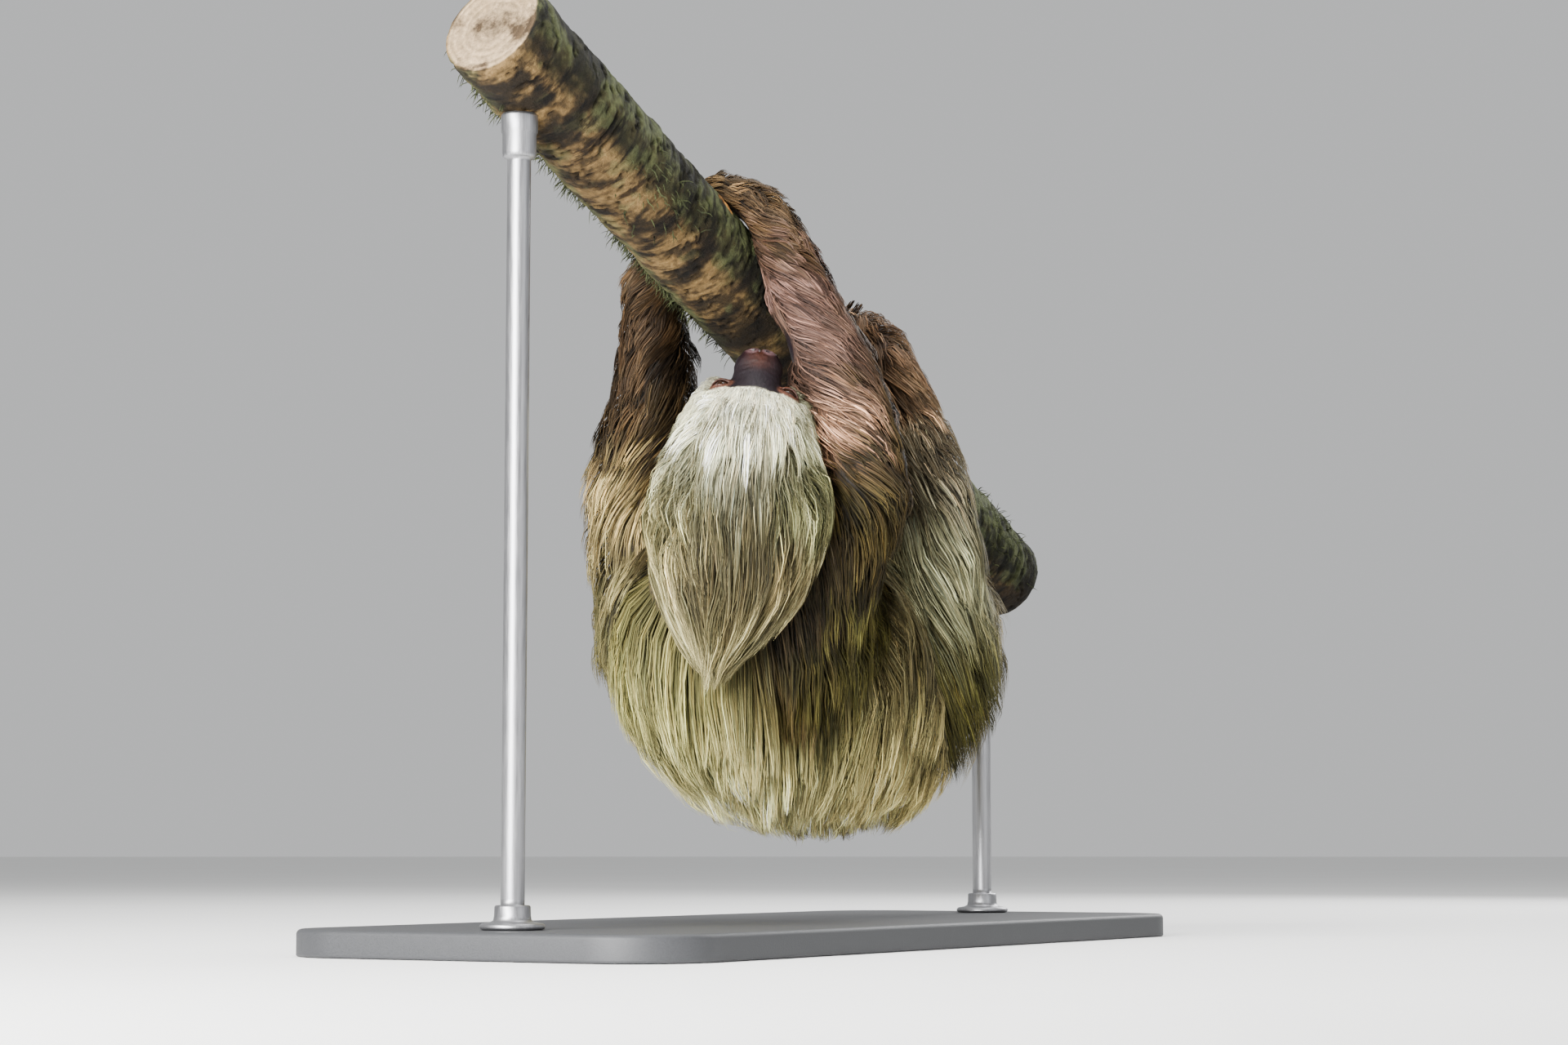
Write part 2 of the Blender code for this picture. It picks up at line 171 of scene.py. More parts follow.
def head_places(points):
    """Points as (right, out, forward) in the head's own axes."""
    away = points - HEAD_MIDDLE
    return np.stack([away @ HEAD_RIGHT, away @ HEAD_OUT, away @ MUZZLE_WAY], axis=-1)


def mirrored(q):
    """Places in the head's axes, with its left half laid over its right."""
    return np.stack([np.abs(q[..., 0]), q[..., 1], q[..., 2]], axis=-1)


# Noise

LATTICE_CELLS = 32
LATTICE = np.random.default_rng(SEED).random((LATTICE_CELLS,) * 3)


def noise(points, size):
    """Smooth value noise from -1 to 1 with features of the given size."""
    place = points / size + 7.3
    cell = np.floor(place).astype(int)
    part = place - cell
    part = part * part * (3.0 - 2.0 * part)
    total = 0.0
    for corner in np.ndindex(2, 2, 2):
        weight = np.prod(np.where(corner, part, 1.0 - part), axis=-1)
        spot = (cell + corner) % LATTICE_CELLS
        total = total + weight * LATTICE[spot[..., 0], spot[..., 1], spot[..., 2]]
    return total * 2.0 - 1.0


def layered_noise(points, size, layers=3):
    """Noise with finer and fainter layers added."""
    return sum(noise(points + 3.1 * layer, size * 0.5 ** layer) * 0.55 ** layer for layer in range(layers))


# Distances to simple shapes

def smooth_min(first, second, blend):
    """The nearer of two shapes, with a fillet between them."""
    over = np.maximum(blend - np.abs(first - second), 0.0) / blend
    return np.minimum(first, second) - over * over * blend * 0.25


def ellipsoid(points, middle, radii):
    """Distance to an ellipsoid, near enough close to its surface."""
    scaled = (points - np.array(middle)) / np.array(radii)
    near = np.linalg.norm(scaled, axis=-1)
    slope = np.linalg.norm(scaled / np.array(radii), axis=-1)
    return near * (near - 1.0) / np.maximum(slope, 1e-6)


def cone(points, start, end, start_radius, end_radius):
    """Distance to a stretch with round ends and a changing radius."""
    axis = np.array(end) - np.array(start)
    away = points - np.array(start)
    place = np.clip(away @ axis / (axis @ axis), 0.0, 1.0)
    gap = np.linalg.norm(away - place[..., None] * axis, axis=-1)
    return gap - (start_radius + (end_radius - start_radius) * place)


def chain(points, joints, radii):
    """Distance to a row of cones."""
    stretches = zip(joints, joints[1:], radii, radii[1:])
    return np.minimum.reduce([cone(points, *stretch) for stretch in stretches])


# The flesh

PALM_DROP = 0.0035


def grip_joints(grip):
    """Wrist or ankle, the bend over the trunk, and the knuckles, with the palm close to the bark."""
    start, end = GRIPS[grip]
    middle = [0.5 * (a + b) for a, b in zip(start, end)]
    return [round_the_perch(along, angle, away - PALM_DROP) for along, angle, away in (start, middle, end)]


def limb_chains():
    """Joints and flesh radii of every limb piece, named as the CAD nodes are."""
    chains = {}
    for side in SIDES:
        shoulder, elbow, hip, knee = SHOULDER[side], ELBOW[side], HIP[side], KNEE[side]
        hand, foot = grip_joints("hand_" + side), grip_joints("foot_" + side)
        bow = BOW[side]
        span = hand[0] - elbow
        chains["upper_arm_" + side] = ([shoulder, 0.5 * (shoulder + elbow), elbow], [0.036, 0.031, 0.023])
        chains["forearm_" + side] = (
            [elbow, elbow + span * 0.33 + bow * 0.8, elbow + span * 0.66 + bow * 0.6, hand[0]],
            [0.0235, 0.0245, 0.0195, 0.0130],
        )
        chains["hand_" + side] = (hand, [0.0130, 0.0128, 0.0095])
        chains["thigh_" + side] = ([hip, 0.5 * (hip + knee), knee], [0.052, 0.044, 0.029])
        span = foot[0] - knee
        chains["shank_" + side] = (
            [knee, knee + span * 0.33, knee + span * 0.66, foot[0]],
            [0.0275, 0.0265, 0.0205, 0.0150],
        )
        chains["foot_" + side] = (foot, [0.0150, 0.0140, 0.0100])
    return chains


LIMBS = limb_chains()
TORSO = (
    [vec(-0.036, -0.022, 0.238), vec(-0.006, 0.022, 0.226), vec(0.024, 0.066, 0.225),
     vec(0.052, 0.108, 0.230), vec(0.073, 0.139, 0.244)],
    [0.062, 0.077, 0.083, 0.081, 0.066],
)
NECK = (
    [vec(-0.022, -0.104, 0.330), vec(-0.030, -0.074, 0.292), vec(-0.038, -0.034, 0.256)],
    [0.036, 0.041, 0.052],
)


def digit_shift(limb, number):
    """How far along the trunk a digit is from the middle of its hand or foot."""
    return (number - 0.5 * (CLAW_COUNT[limb] - 1)) * CLAW_SPACING[limb]


def digit_chains(grip):
    """The fingers or toes, side by side, from the bend to the claws' roots."""
    limb = grip.split("_")[0]
    start, end = GRIPS[grip]
    radius = 0.0082 if limb == "hand" else 0.0072
    for number in range(CLAW_COUNT[limb]):
        shift = digit_shift(limb, number)
        root = [0.45 * a + 0.55 * b for a, b in zip(start, end)]
        joints = [round_the_perch(root[0] + shift * 0.8, root[1], root[2]),
                  round_the_perch(end[0] + shift, end[1], end[2] - 0.003),
                  round_the_perch(end[0] + shift, end[1] + (end[1] - start[1]) * 0.16, end[2] - 0.0045)]
        yield joints, [radius * 1.1, radius, radius * 0.85]


def body_distance(points):
    """Distance to the flesh of neck, trunk and limbs."""
    near = smooth_min(chain(points, *TORSO), chain(points, *NECK), 0.030)
    for side in SIDES:
        for kind, blend in (("leg", 0.016), ("arm", 0.014)):
            nodes = LIMB_NODES[f"{kind}_{side}"]
            upper, lower, end = [chain(points, *LIMBS[node]) for node in nodes]
            for joints, radii in digit_chains(nodes[-1]):
                end = smooth_min(end, chain(points, joints, radii), 0.0035)
            near = smooth_min(near, smooth_min(smooth_min(upper, lower, blend), end, 0.010), 0.022)
    return np.maximum(near, 0.0006 - perch_distance(points))


# The head

MUZZLE_BASE = -0.003
NOSTRIL = vec(0.0062, 0.0112, 0.0276)


def eye_axes(side):
    """The eye's own axes: out to the outer corner, across the lids, and the way it looks."""
    sign = SIDES[side]
    corner = unit(HEAD_RIGHT * sign - MUZZLE_WAY * 0.16 - HEAD_OUT * 0.30)
    look = HEAD_RIGHT * (0.42 * sign) + HEAD_OUT * 0.88 + MUZZLE_WAY * 0.16
    look = unit(look - corner * (look @ corner))
    return corner, np.cross(look, corner), look


def eye_places(points, side):
    """Points in an eye's own axes."""
    away = points - EYE[side]
    return np.stack([away @ axis for axis in eye_axes(side)], axis=-1)


LID_LENGTH = 0.0074
LID_OPENING = 0.0024


def lid_opening(places):
    """Distance from the almond between the lids, in the plane across the eye."""
    reach = places[..., 0] / LID_LENGTH
    half = LID_OPENING * np.maximum(1.0 - reach ** 2, 0.0)
    height = np.abs(places[..., 1] + 0.0006 * reach)
    outside = np.maximum(np.abs(places[..., 0]) - LID_LENGTH, 0.0)
    above = height - half
    return np.hypot(np.maximum(above, 0.0), outside) + np.minimum(above, 0.0) * (outside == 0.0)


def head_distance(points):
    """Distance to the head's flesh, with muzzle, lids, nostrils and mouth."""
    q = head_places(points)
    m = mirrored(q)
    near = ellipsoid(q, (0.0, -0.009, -0.038), (0.0345, 0.0290, 0.0400))
    near = smooth_min(near, ellipsoid(q, (0.0, -0.010, -0.016), (0.0330, 0.0215, 0.0230)), 0.012)
    near = smooth_min(near, cone(q, (0.0, -0.022, -0.042), (0.0, -0.0095, 0.018), 0.0230, 0.0078), 0.010)
    near = smooth_min(near, ellipsoid(m, (0.0255, -0.0105, -0.0170), (0.0125, 0.0140, 0.0200)), 0.009)
    near = smooth_min(near, ellipsoid(m, (0.0190, 0.0020, -0.0165), (0.0130, 0.0080, 0.0090)), 0.008)
    near = smooth_min(near, ear_distance(m), 0.004)
    squashed = m / np.array((1.04, 0.88, 1.0))
    snout = 0.90 * cone(squashed, (0.0, -0.0010, -0.012), (0.0, -0.0005, 0.0150), 0.0192, 0.0166)
    snout = smooth_min(snout, ellipsoid(m, (0.0, -0.0004, 0.0205), (0.0150, 0.0124, 0.0118)), 0.007)
    snout = smooth_min(snout, ellipsoid(m, (0.0064, 0.0062, 0.0240), (0.0056, 0.0056, 0.0054)), 0.004)
    near = smooth_min(near, snout, 0.006)
    near = near + head_folds(m)
    nostril = smooth_min(ellipsoid(m, NOSTRIL, (0.0029, 0.0030, 0.0024)),
                         ellipsoid(m, NOSTRIL + (0.0026, -0.0016, 0.0008), (0.0020, 0.0018, 0.0015)), 0.001)
    near = -smooth_min(-near, nostril, 0.0009)
    mouth = chain(m, [vec(0.0, -0.0078, 0.0308), vec(0.0086, -0.0092, 0.0282), vec(0.0148, -0.0100, 0.0190),
                      vec(0.0200, -0.0085, 0.0040)], [0.0009, 0.0010, 0.0010, 0.0003])
    near = -smooth_min(-near, mouth, 0.0012)
    for side in SIDES:
        near = set_eye(near, points, side)
    return near


def ear_distance(m):
    """Distance to a small rounded ear with a dished front."""
    away = m - np.array((0.0385, -0.036, -0.050))
    tilted = np.stack([away[..., 0] * 0.86 - away[..., 2] * 0.50, away[..., 1],
                       away[..., 0] * 0.50 + away[..., 2] * 0.86], axis=-1)
    flap = ellipsoid(tilted, (0.003, 0.0, 0.0), (0.0085, 0.0034, 0.0075))
    dish = ellipsoid(tilted, (0.0040, 0.0042, 0.0), (0.0062, 0.0036, 0.0055))
    return -smooth_min(-flap, dish, 0.001)


def head_folds(m):
    """Creases over the muzzle and a groove down the middle of the nose."""
    on_muzzle = smoothstep(-0.002, 0.006, m[..., 2]) * smoothstep(0.030, 0.022, m[..., 2])
    creases = np.sin(m[..., 2] * 1500.0 + m[..., 0] * 160.0 + 2.0 * noise(m, 0.006))
    grain = noise(m, 0.0021)
    groove = np.exp(-(m[..., 0] / 0.0010) ** 2) * smoothstep(0.020, 0.027, m[..., 2])
    return on_muzzle * (0.00007 * creases + 0.00016 * grain) + groove * 0.0012


def set_eye(near, points, side):
    """Raise the lids over the ball, ring them with folds, and open the almond."""
    places = eye_places(points, side)
    ball = np.linalg.norm(places, axis=-1)
    near = smooth_min(near, ball - (EYE_RADIUS + 0.0014), 0.0045)
    opening = lid_opening(places)
    in_front = smoothstep(0.0, 0.003, places[..., 2]) * (ball < 0.016)
    folds = 0.00035 * np.sin(opening * 3600.0 - 1.2) * smoothstep(0.0060, 0.0015, opening)
    near = near - folds * in_front
    near = np.maximum(near, EYE_RADIUS + 0.0001 - ball)
    cut = np.maximum(opening, 0.002 - places[..., 2])
    return -smooth_min(-near, cut, 0.0005)


# Skin: a surface net over each distance grid

def grid_points(low, high, cell):
    """Corner points of a regular grid."""
    axes = [np.arange(low[axis], high[axis] + cell, cell) for axis in range(3)]
    return np.stack(np.meshgrid(*axes, indexing="ij"), axis=-1)


def surface_net(points, values):
    """Vertices and quads of the zero surface of a grid of distances."""
    inside = values < 0.0
    shape = np.array(values.shape) - 1
    filled = np.zeros(shape, np.int8)
    for corner in np.ndindex(2, 2, 2):
        filled += inside[tuple(slice(c, c + n) for c, n in zip(corner, shape))]
    active = (filled > 0) & (filled < 8)
    index = np.full(active.shape, -1)
    index[active] = np.arange(active.sum())
    cells = np.argwhere(active)
    total = np.zeros((len(cells), 3))
    count = np.zeros(len(cells))
    for start in np.ndindex(2, 2, 2):
        for axis in range(3):
            if start[axis]:
                continue
            first = cells + start
            second = first.copy()
            second[:, axis] += 1
            a, b = values[tuple(first.T)], values[tuple(second.T)]
            crosses = (a < 0.0) != (b < 0.0)
            part = np.where(crosses, a / np.where(crosses, a - b, 1.0), 0.0)[:, None]
            crossing = mix(points[tuple(first.T)], points[tuple(second.T)], part)
            total += np.where(crosses[:, None], crossing, 0.0)
            count += crosses
    quads = []
    for axis in range(3):
        near, far = [slice(1, -1)] * 3, [slice(1, -1)] * 3
        near[axis], far[axis] = slice(0, -1), slice(1, None)
        a, b = inside[tuple(near)], inside[tuple(far)]
        one, two = (axis + 1) % 3, (axis + 2) % 3
        for change, order in ((a & ~b, 1), (~a & b, -1)):
            spots = np.argwhere(change)
            spots[:, [one, two]] += 1
            ring = []
            for step_one, step_two in ((0, 0), (-1, 0), (-1, -1), (0, -1)):
                spot = spots.copy()
                spot[:, one] += step_one
                spot[:, two] += step_two
                ring.append(index[tuple(spot.T)])
            quads.append(np.stack(ring[::order], axis=-1))
    return total / count[:, None], np.concatenate(quads)


def mesh_from(name, vertices, faces):
    """A smooth-shaded mesh from arrays of points and of equal-sided faces."""
    mesh = bpy.data.meshes.new(name)
    sides = faces.shape[1]
    mesh.vertices.add(len(vertices))
    mesh.vertices.foreach_set("co", np.asarray(vertices, np.float32).ravel())
    mesh.loops.add(faces.size)
    mesh.loops.foreach_set("vertex_index", faces.ravel().astype(np.int32))
    mesh.polygons.add(len(faces))
    mesh.polygons.foreach_set("loop_start", np.arange(0, faces.size, sides, dtype=np.int32))
    mesh.update(calc_edges=True)
    mesh.shade_smooth()
    return mesh


def ring_quads(index):
    """Quads between rows of vertex numbers, each row a closed ring."""
    after = np.roll(index, -1, axis=1)
    return np.stack([index[:-1], after[:-1], after[1:], index[1:]], axis=-1).reshape(-1, 4)


class Field:
    """Distances kept on a grid, read back anywhere inside it."""

    def __init__(self, low, high, cell, distance):
        self.low, self.cell = np.array(low, float), cell
        self.points = grid_points(low, high, cell)
        shape = self.points.shape[:3]
        flat = self.points.reshape(-1, 3)
        pieces = [distance(part) for part in np.array_split(flat, max(len(flat) // 60000, 1))]
        self.values = np.concatenate(pieces).reshape(shape)

    def read(self, points):
        """Distance at the points; far outside the grid it only grows."""
        place = (points - self.low) / self.cell
        limit = np.array(self.values.shape) - 1.001
        inside = np.clip(place, 0.0, limit)
        cell = inside.astype(int)
        part = inside - cell
        total = 0.0
        for corner in np.ndindex(2, 2, 2):
            weight = np.prod(np.where(corner, part, 1.0 - part), axis=-1)
            spot = cell + corner
            total = total + weight * self.values[spot[..., 0], spot[..., 1], spot[..., 2]]
        return total + np.linalg.norm(place - inside, axis=-1) * self.cell


BODY_CELL = 0.003
HEAD_CELL = 0.00095
NORMAL_STEP = 0.002


def head_local_distance(q):
    """The head's distance, from places in its own axes."""
    return head_distance(on_head(q[:, :1], q[:, 1:2], q[:, 2:]))


BODY = Field((-0.185, -0.165, 0.125), (0.175, 0.245, 0.565), BODY_CELL, body_distance)
HEAD = Field((-0.056, -0.062, -0.086), (0.056, 0.030, 0.042), HEAD_CELL, head_local_distance)


def flesh_distance(points):
    """Distance to the whole skin."""
    return np.minimum(BODY.read(points), HEAD.read(head_places(points)))


def flesh_normal(points):
    """The way straight out of the flesh."""
    steps = NORMAL_STEP * np.eye(3)
    slopes = [flesh_distance(points + step) - flesh_distance(points - step) for step in steps]
    return unit(np.stack(slopes, axis=-1))


def join_skin():
    """Body and head as one closed skin."""
    body_points, body_faces = surface_net(BODY.points, BODY.values)
    local, head_faces = surface_net(HEAD.points, HEAD.values)
    head_points = on_head(local[:, :1], local[:, 1:2], local[:, 2:])
    skin = bpy.data.objects.new("skin", mesh_from("skin", body_points, body_faces))
    head = bpy.data.objects.new("skin_head", mesh_from("skin_head", head_points, head_faces))
    for thing in (skin, head):
        bpy.context.scene.collection.objects.link(thing)
    union = skin.modifiers.new("union", "BOOLEAN")
    union.operation, union.solver, union.object = "UNION", "EXACT", head
    joined = bpy.data.meshes.new_from_object(skin.evaluated_get(bpy.context.evaluated_depsgraph_get()))
    skin.modifiers.clear()
    skin.data = joined
    joined.shade_smooth()
    bpy.data.objects.remove(head)
    return skin


# Where each part of the skin lies

SNOUT = on_head(0.0, -0.004, 0.004)


def from_snout(points):
    """Distance from the base of the muzzle."""
    return np.linalg.norm(points - SNOUT, axis=-1)


def limb_line(nodes):
    """One line of joints down a whole limb."""
    joints = [LIMBS[node][0] for node in nodes]
    return np.array(joints[0] + [point for part in joints[1:] for point in part[1:]])


LINES = {
    "torso": np.array(TORSO[0]),
    "head": np.array([on_head(0.0, -0.004, 0.026), on_head(0.0, -0.010, -0.020),
                      on_head(0.0, -0.010, -0.075), vec(-0.030, -0.074, 0.292)]),
}
LINES.update({part: limb_line(nodes) for part, nodes in LIMB_NODES.items()})


def nearest_part(points):
    """The index of the part, in the order of LINES, that the skin at each point belongs to."""
    head = np.minimum(HEAD.read(head_places(points)), chain(points, *NECK))
    distances = [chain(points, *TORSO), head]
    for nodes in LIMB_NODES.values():
        distances.append(np.minimum.reduce([chain(points, *LIMBS[node]) for node in nodes]))
    return np.argmin(distances, axis=0)


def along_line(points, line, reference):
    """How far along a line of joints each point is, and the angle round it, in turns."""
    best = np.full(len(points), np.inf)
    place, turn = np.zeros(len(points)), np.zeros(len(points))
    start_length = 0.0
    for start, end in zip(line, line[1:]):
        axis = end - start
        length = np.linalg.norm(axis)
        axis = axis / length
        t = np.clip((points - start) @ axis, 0.0, length)
        away = points - start - t[:, None] * axis
        gap = np.linalg.norm(away, axis=1)
        side = unit(reference - axis * (reference @ axis))
        angle = np.arctan2(away @ np.cross(axis, side), away @ side) / (2.0 * math.pi) + 0.5
        closer = gap < best
        best = np.where(closer, gap, best)
        place, turn = np.where(closer, start_length + t, place), np.where(closer, angle, turn)
        start_length += length
    return place, turn


# Markings, with some painted shade and painted light among them, as soft patches over a ground colour: place,
# reach, colour

GROUND = {
    "torso": (0.130, 0.108, 0.042),
    "head": (0.21, 0.19, 0.095),
    "arm_left": (0.060, 0.041, 0.017),
    "arm_right": (0.045, 0.030, 0.013),
    "leg_left": (0.135, 0.098, 0.048),
    "leg_right": (0.100, 0.078, 0.038),
}
PATCHES = {
    "torso": (
        ((-0.130, -0.03, 0.220), 0.046, (0.112, 0.102, 0.029)),
        ((-0.095, -0.05, 0.165), 0.040, (0.160, 0.150, 0.056)),
        ((-0.055, -0.08, 0.165), 0.024, (0.165, 0.148, 0.036)),
        # Painted shade in the gap right of the mane's tip.
        ((0.022, -0.11, 0.225), 0.036, (0.012, 0.009, 0.004)),
        ((-0.005, -0.10, 0.180), 0.020, (0.085, 0.070, 0.020)),
        ((0.022, -0.10, 0.188), 0.014, (0.36, 0.30, 0.085)),
        ((0.045, -0.08, 0.170), 0.026, (0.030, 0.028, 0.005)),
        ((0.035, -0.07, 0.135), 0.030, (0.080, 0.084, 0.012)),
        # The darker right side: partly the coat's own dark colour, partly painted shade.
        ((0.120, -0.02, 0.220), 0.045, (0.006, 0.0065, 0.0010)),
        ((0.110, -0.02, 0.155), 0.036, (0.016, 0.017, 0.0012)),
        ((-0.045, -0.03, 0.115), 0.040, (0.42, 0.39, 0.165)),
        # The pale fringe underneath, painted brighter as light shining through it.
        ((-0.010, 0.00, 0.078), 0.054, (0.98, 0.86, 0.38)),
        ((0.090, 0.04, 0.092), 0.038, (0.86, 0.70, 0.24)),
        ((0.060, 0.14, 0.085), 0.070, (0.38, 0.31, 0.145)),
        ((0.060, 0.22, 0.230), 0.090, (0.150, 0.118, 0.055)),
    ),
    "head": (
        ((-0.018, -0.14, 0.395), 0.030, (0.92, 0.88, 0.66)),
        ((-0.050, -0.14, 0.365), 0.029, (0.62, 0.62, 0.40)),
        ((0.018, -0.14, 0.370), 0.024, (0.42, 0.41, 0.225)),
        ((-0.080, -0.13, 0.315), 0.026, (0.180, 0.156, 0.064)),
        ((0.038, -0.13, 0.318), 0.022, (0.23, 0.225, 0.095)),
        ((-0.018, -0.17, 0.350), 0.020, (0.028, 0.020, 0.009)),
        ((-0.018, -0.18, 0.318), 0.031, (0.008, 0.0055, 0.002)),
        ((-0.030, -0.18, 0.270), 0.033, (0.015, 0.0105, 0.0045)),
        ((-0.070, -0.16, 0.275), 0.018, (0.15, 0.12, 0.055)),
        ((-0.046, -0.16, 0.218), 0.022, (0.175, 0.148, 0.064)),
        ((0.010, -0.16, 0.262), 0.018, (0.13, 0.10, 0.042)),
    ),
    "arm_left": (
        ((-0.105, 0.00, 0.465), 0.044, (0.016, 0.008, 0.004)),
        ((-0.125, -0.01, 0.395), 0.036, (0.014, 0.0082, 0.0036)),
        ((-0.125, -0.01, 0.335), 0.022, (0.28, 0.205, 0.080)),
        ((-0.125, -0.01, 0.285), 0.026, (0.105, 0.083, 0.034)),
        ((-0.120, 0.00, 0.240), 0.028, (0.092, 0.084, 0.031)),
    ),
    "arm_right": (
        ((-0.005, -0.08, 0.535), 0.040, (0.046, 0.027, 0.0115)),
        ((0.008, -0.10, 0.475), 0.028, (0.120, 0.066, 0.053)),
        ((0.030, -0.12, 0.425), 0.026, (0.084, 0.047, 0.034)),
        # A painted pink highlight along the forearm's inner edge.
        ((0.034, -0.14, 0.375), 0.017, (0.76, 0.41, 0.245)),
        ((0.050, -0.13, 0.348), 0.012, (0.050, 0.031, 0.0085)),
        # Painted shade down the arm's right side by the elbow.
        ((0.072, -0.12, 0.350), 0.028, (0.008, 0.0055, 0.002)),
        ((0.058, -0.12, 0.312), 0.018, (0.030, 0.023, 0.0055)),
        ((0.080, -0.10, 0.280), 0.024, (0.030, 0.022, 0.006)),
        # Painted shade in the gap right of the mane's lower edge.
        ((0.040, -0.11, 0.262), 0.024, (0.006, 0.0045, 0.0025)),
        ((0.030, -0.11, 0.225), 0.024, (0.006, 0.0045, 0.0025)),
        ((0.072, -0.09, 0.232), 0.016, (0.22, 0.195, 0.048)),
        ((0.060, -0.09, 0.190), 0.030, (0.034, 0.031, 0.006)),
    ),
    "leg_left": (
        ((-0.090, 0.12, 0.450), 0.050, (0.070, 0.038, 0.018)),
        ((-0.060, 0.18, 0.330), 0.050, (0.16, 0.122, 0.062)),
        ((-0.020, 0.19, 0.240), 0.050, (0.25, 0.22, 0.105)),
    ),
    "leg_right": (
        ((0.060, 0.00, 0.470), 0.030, (0.15, 0.080, 0.041)),
        ((0.085, 0.00, 0.420), 0.030, (0.150, 0.084, 0.045)),
        ((0.110, -0.01, 0.360), 0.030, (0.130, 0.106, 0.066)),
        ((0.125, -0.01, 0.308), 0.024, (0.17, 0.165, 0.095)),
        ((0.145, -0.02, 0.258), 0.026, (0.225, 0.22, 0.115)),
        ((0.112, -0.03, 0.285), 0.020, (0.225, 0.22, 0.120)),
        # The darker right side: partly the coat's own dark colour, partly painted shade.
        ((0.170, 0.00, 0.210), 0.024, (0.046, 0.045, 0.008)),
        ((0.150, 0.02, 0.165), 0.040, (0.034, 0.032, 0.003)),
        # Painted shade in the gap between the leg's pale lock and the body.
        ((0.120, -0.03, 0.215), 0.026, (0.018, 0.016, 0.003)),
    ),
}
PATCH_SHAPE = vec(1.0, 0.4, 1.0)
WANDER = {"head": 0.35, "arm": 0.45, "leg": 0.8, "torso": 1.0}
# The skin under the coat is darker than the hair, partly as painted shade beneath it.
SKIN_SHARE = vec(0.30, 0.26, 0.21)
EYE_PATCH = vec(0.058, 0.019, 0.009)
LID_EDGE = vec(0.030, 0.011, 0.007)
# Dark muzzle skin, its violet tint a painted sheen.
MUZZLE_TONE_AND_SHEEN = vec(0.0056, 0.0027, 0.0048)
BRIDGE_TONE = vec(0.030, 0.0092, 0.0058)
NOSE_RIM_TONE = vec(0.125, 0.070, 0.074)
# Painted shade inside the nostrils.
NOSTRIL_PAINTED_SHADE = vec(0.004, 0.002, 0.002)


def coat_tone(points, part):
    """The coat's colour at points of a part, with painted shade and painted light among its patches."""
    warp = [0.010 * noise(points + 0.9 * axis, 0.032) + 0.005 * noise(points + 0.6 * axis, 0.011)
            for axis in range(3)]
    points = points + np.stack(warp, axis=-1) * WANDER[part.split("_")[0]]
    total = np.full(points.shape[:-1] + (1,), 0.12)
    colour = total * np.array(GROUND[part])
    for place, reach, tone in PATCHES[part]:
        away = (points - np.array(place)) * PATCH_SHAPE / reach
        near = np.exp(-0.8 * np.sum(away ** 2, axis=-1, keepdims=True))
        colour = colour + near * np.array(tone)
        total = total + near
    return colour / total


def skin_tone(points, parts):
    """The skin's colour: the coat's own, darker, partly as painted shade under the hair; the bare muzzle with
    its painted sheen and the painted shade in its nostrils; and the eye rims.
    """
    colour = np.zeros_like(points)
    for number, part in enumerate(LINES):
        chosen = parts == number
        colour[chosen] = coat_tone(points[chosen], part)
    # Darker than the coat, partly painted shade under the hair; paler round the face.
    face = smoothstep(0.055, 0.030, from_snout(points))[:, None]
    colour = colour * (SKIN_SHARE + (0.80 - SKIN_SHARE) * face)
    q = head_places(points)
    bare = bare_muzzle(q)[:, None]
    bridge = np.exp(-(q[:, :1] / 0.009) ** 2)
    bridge = bridge * smoothstep(0.004, 0.016, q[:, 2:]) * smoothstep(0.0, 0.009, q[:, 1:2])
    to_nostril = np.linalg.norm(mirrored(q) - NOSTRIL, axis=1)
    rim = (smoothstep(0.0066, 0.0040, to_nostril) * smoothstep(0.0020, 0.0034, to_nostril))[:, None]
    # Painted shade deep in the nostrils.
    nostril_shade = smoothstep(0.0034, 0.0026, to_nostril)[:, None]
    muzzle = mix(mix(MUZZLE_TONE_AND_SHEEN, BRIDGE_TONE, bridge), NOSE_RIM_TONE, 0.75 * rim)
    colour = mix(colour, mix(muzzle, NOSTRIL_PAINTED_SHADE, nostril_shade), bare)
    for side in SIDES:
        rim = bare_rim(points, side)[:, None]
        lid = smoothstep(0.0016, 0.0003, lid_opening(eye_places(points, side)))[:, None] * rim
        colour = mix(mix(colour, EYE_PATCH, rim), LID_EDGE, 0.8 * lid)
    mottle = 1.0 + 0.22 * layered_noise(points, 0.004)[:, None]
    return np.clip(colour * mottle, 0.0, 1.0)


def bare_muzzle(q):
    """1 on the bare muzzle, 0 on the furred head."""
    brow = 0.0075 * smoothstep(0.004, 0.014, q[:, 1])
    edge = q[:, 2] + 0.05 * np.abs(q[:, 0]) + brow + 0.0012 * noise(q, 0.004)
    near_axis = np.hypot(q[:, 0], q[:, 1] * 1.15)
    past_base = smoothstep(MUZZLE_BASE - 0.0015, MUZZLE_BASE + 0.0015, edge)
    return past_base * smoothstep(0.0265, 0.0235, near_axis)


def bare_rim(points, side):
    """1 on the bare skin round an eye."""
    places = eye_places(points, side)
    reach = np.hypot(places[:, 0] / 1.60, places[:, 1])
    return smoothstep(0.0072, 0.0052, reach) * (places[:, 2] > 0.0)


def paint(mesh, colours, alpha=1.0):
    """Store one colour per vertex, with how bare and moist it is as its alpha."""
    layer = mesh.color_attributes.new("coat_tone", "FLOAT_COLOR", "POINT")
    filled = np.empty((len(colours), 4), np.float32)
    filled[:, :3] = np.clip(colours, 0.0, 1.0)
    filled[:, 3] = alpha
    layer.data.foreach_set("color", filled.ravel())


def vertex_places(mesh):
    """Vertex positions of a mesh as an array."""
    places = np.empty(len(mesh.vertices) * 3, np.float32)
    mesh.vertices.foreach_get("co", places)
    return places.reshape(-1, 3).astype(float)


# Tufts

SOFTNESS = 0.55


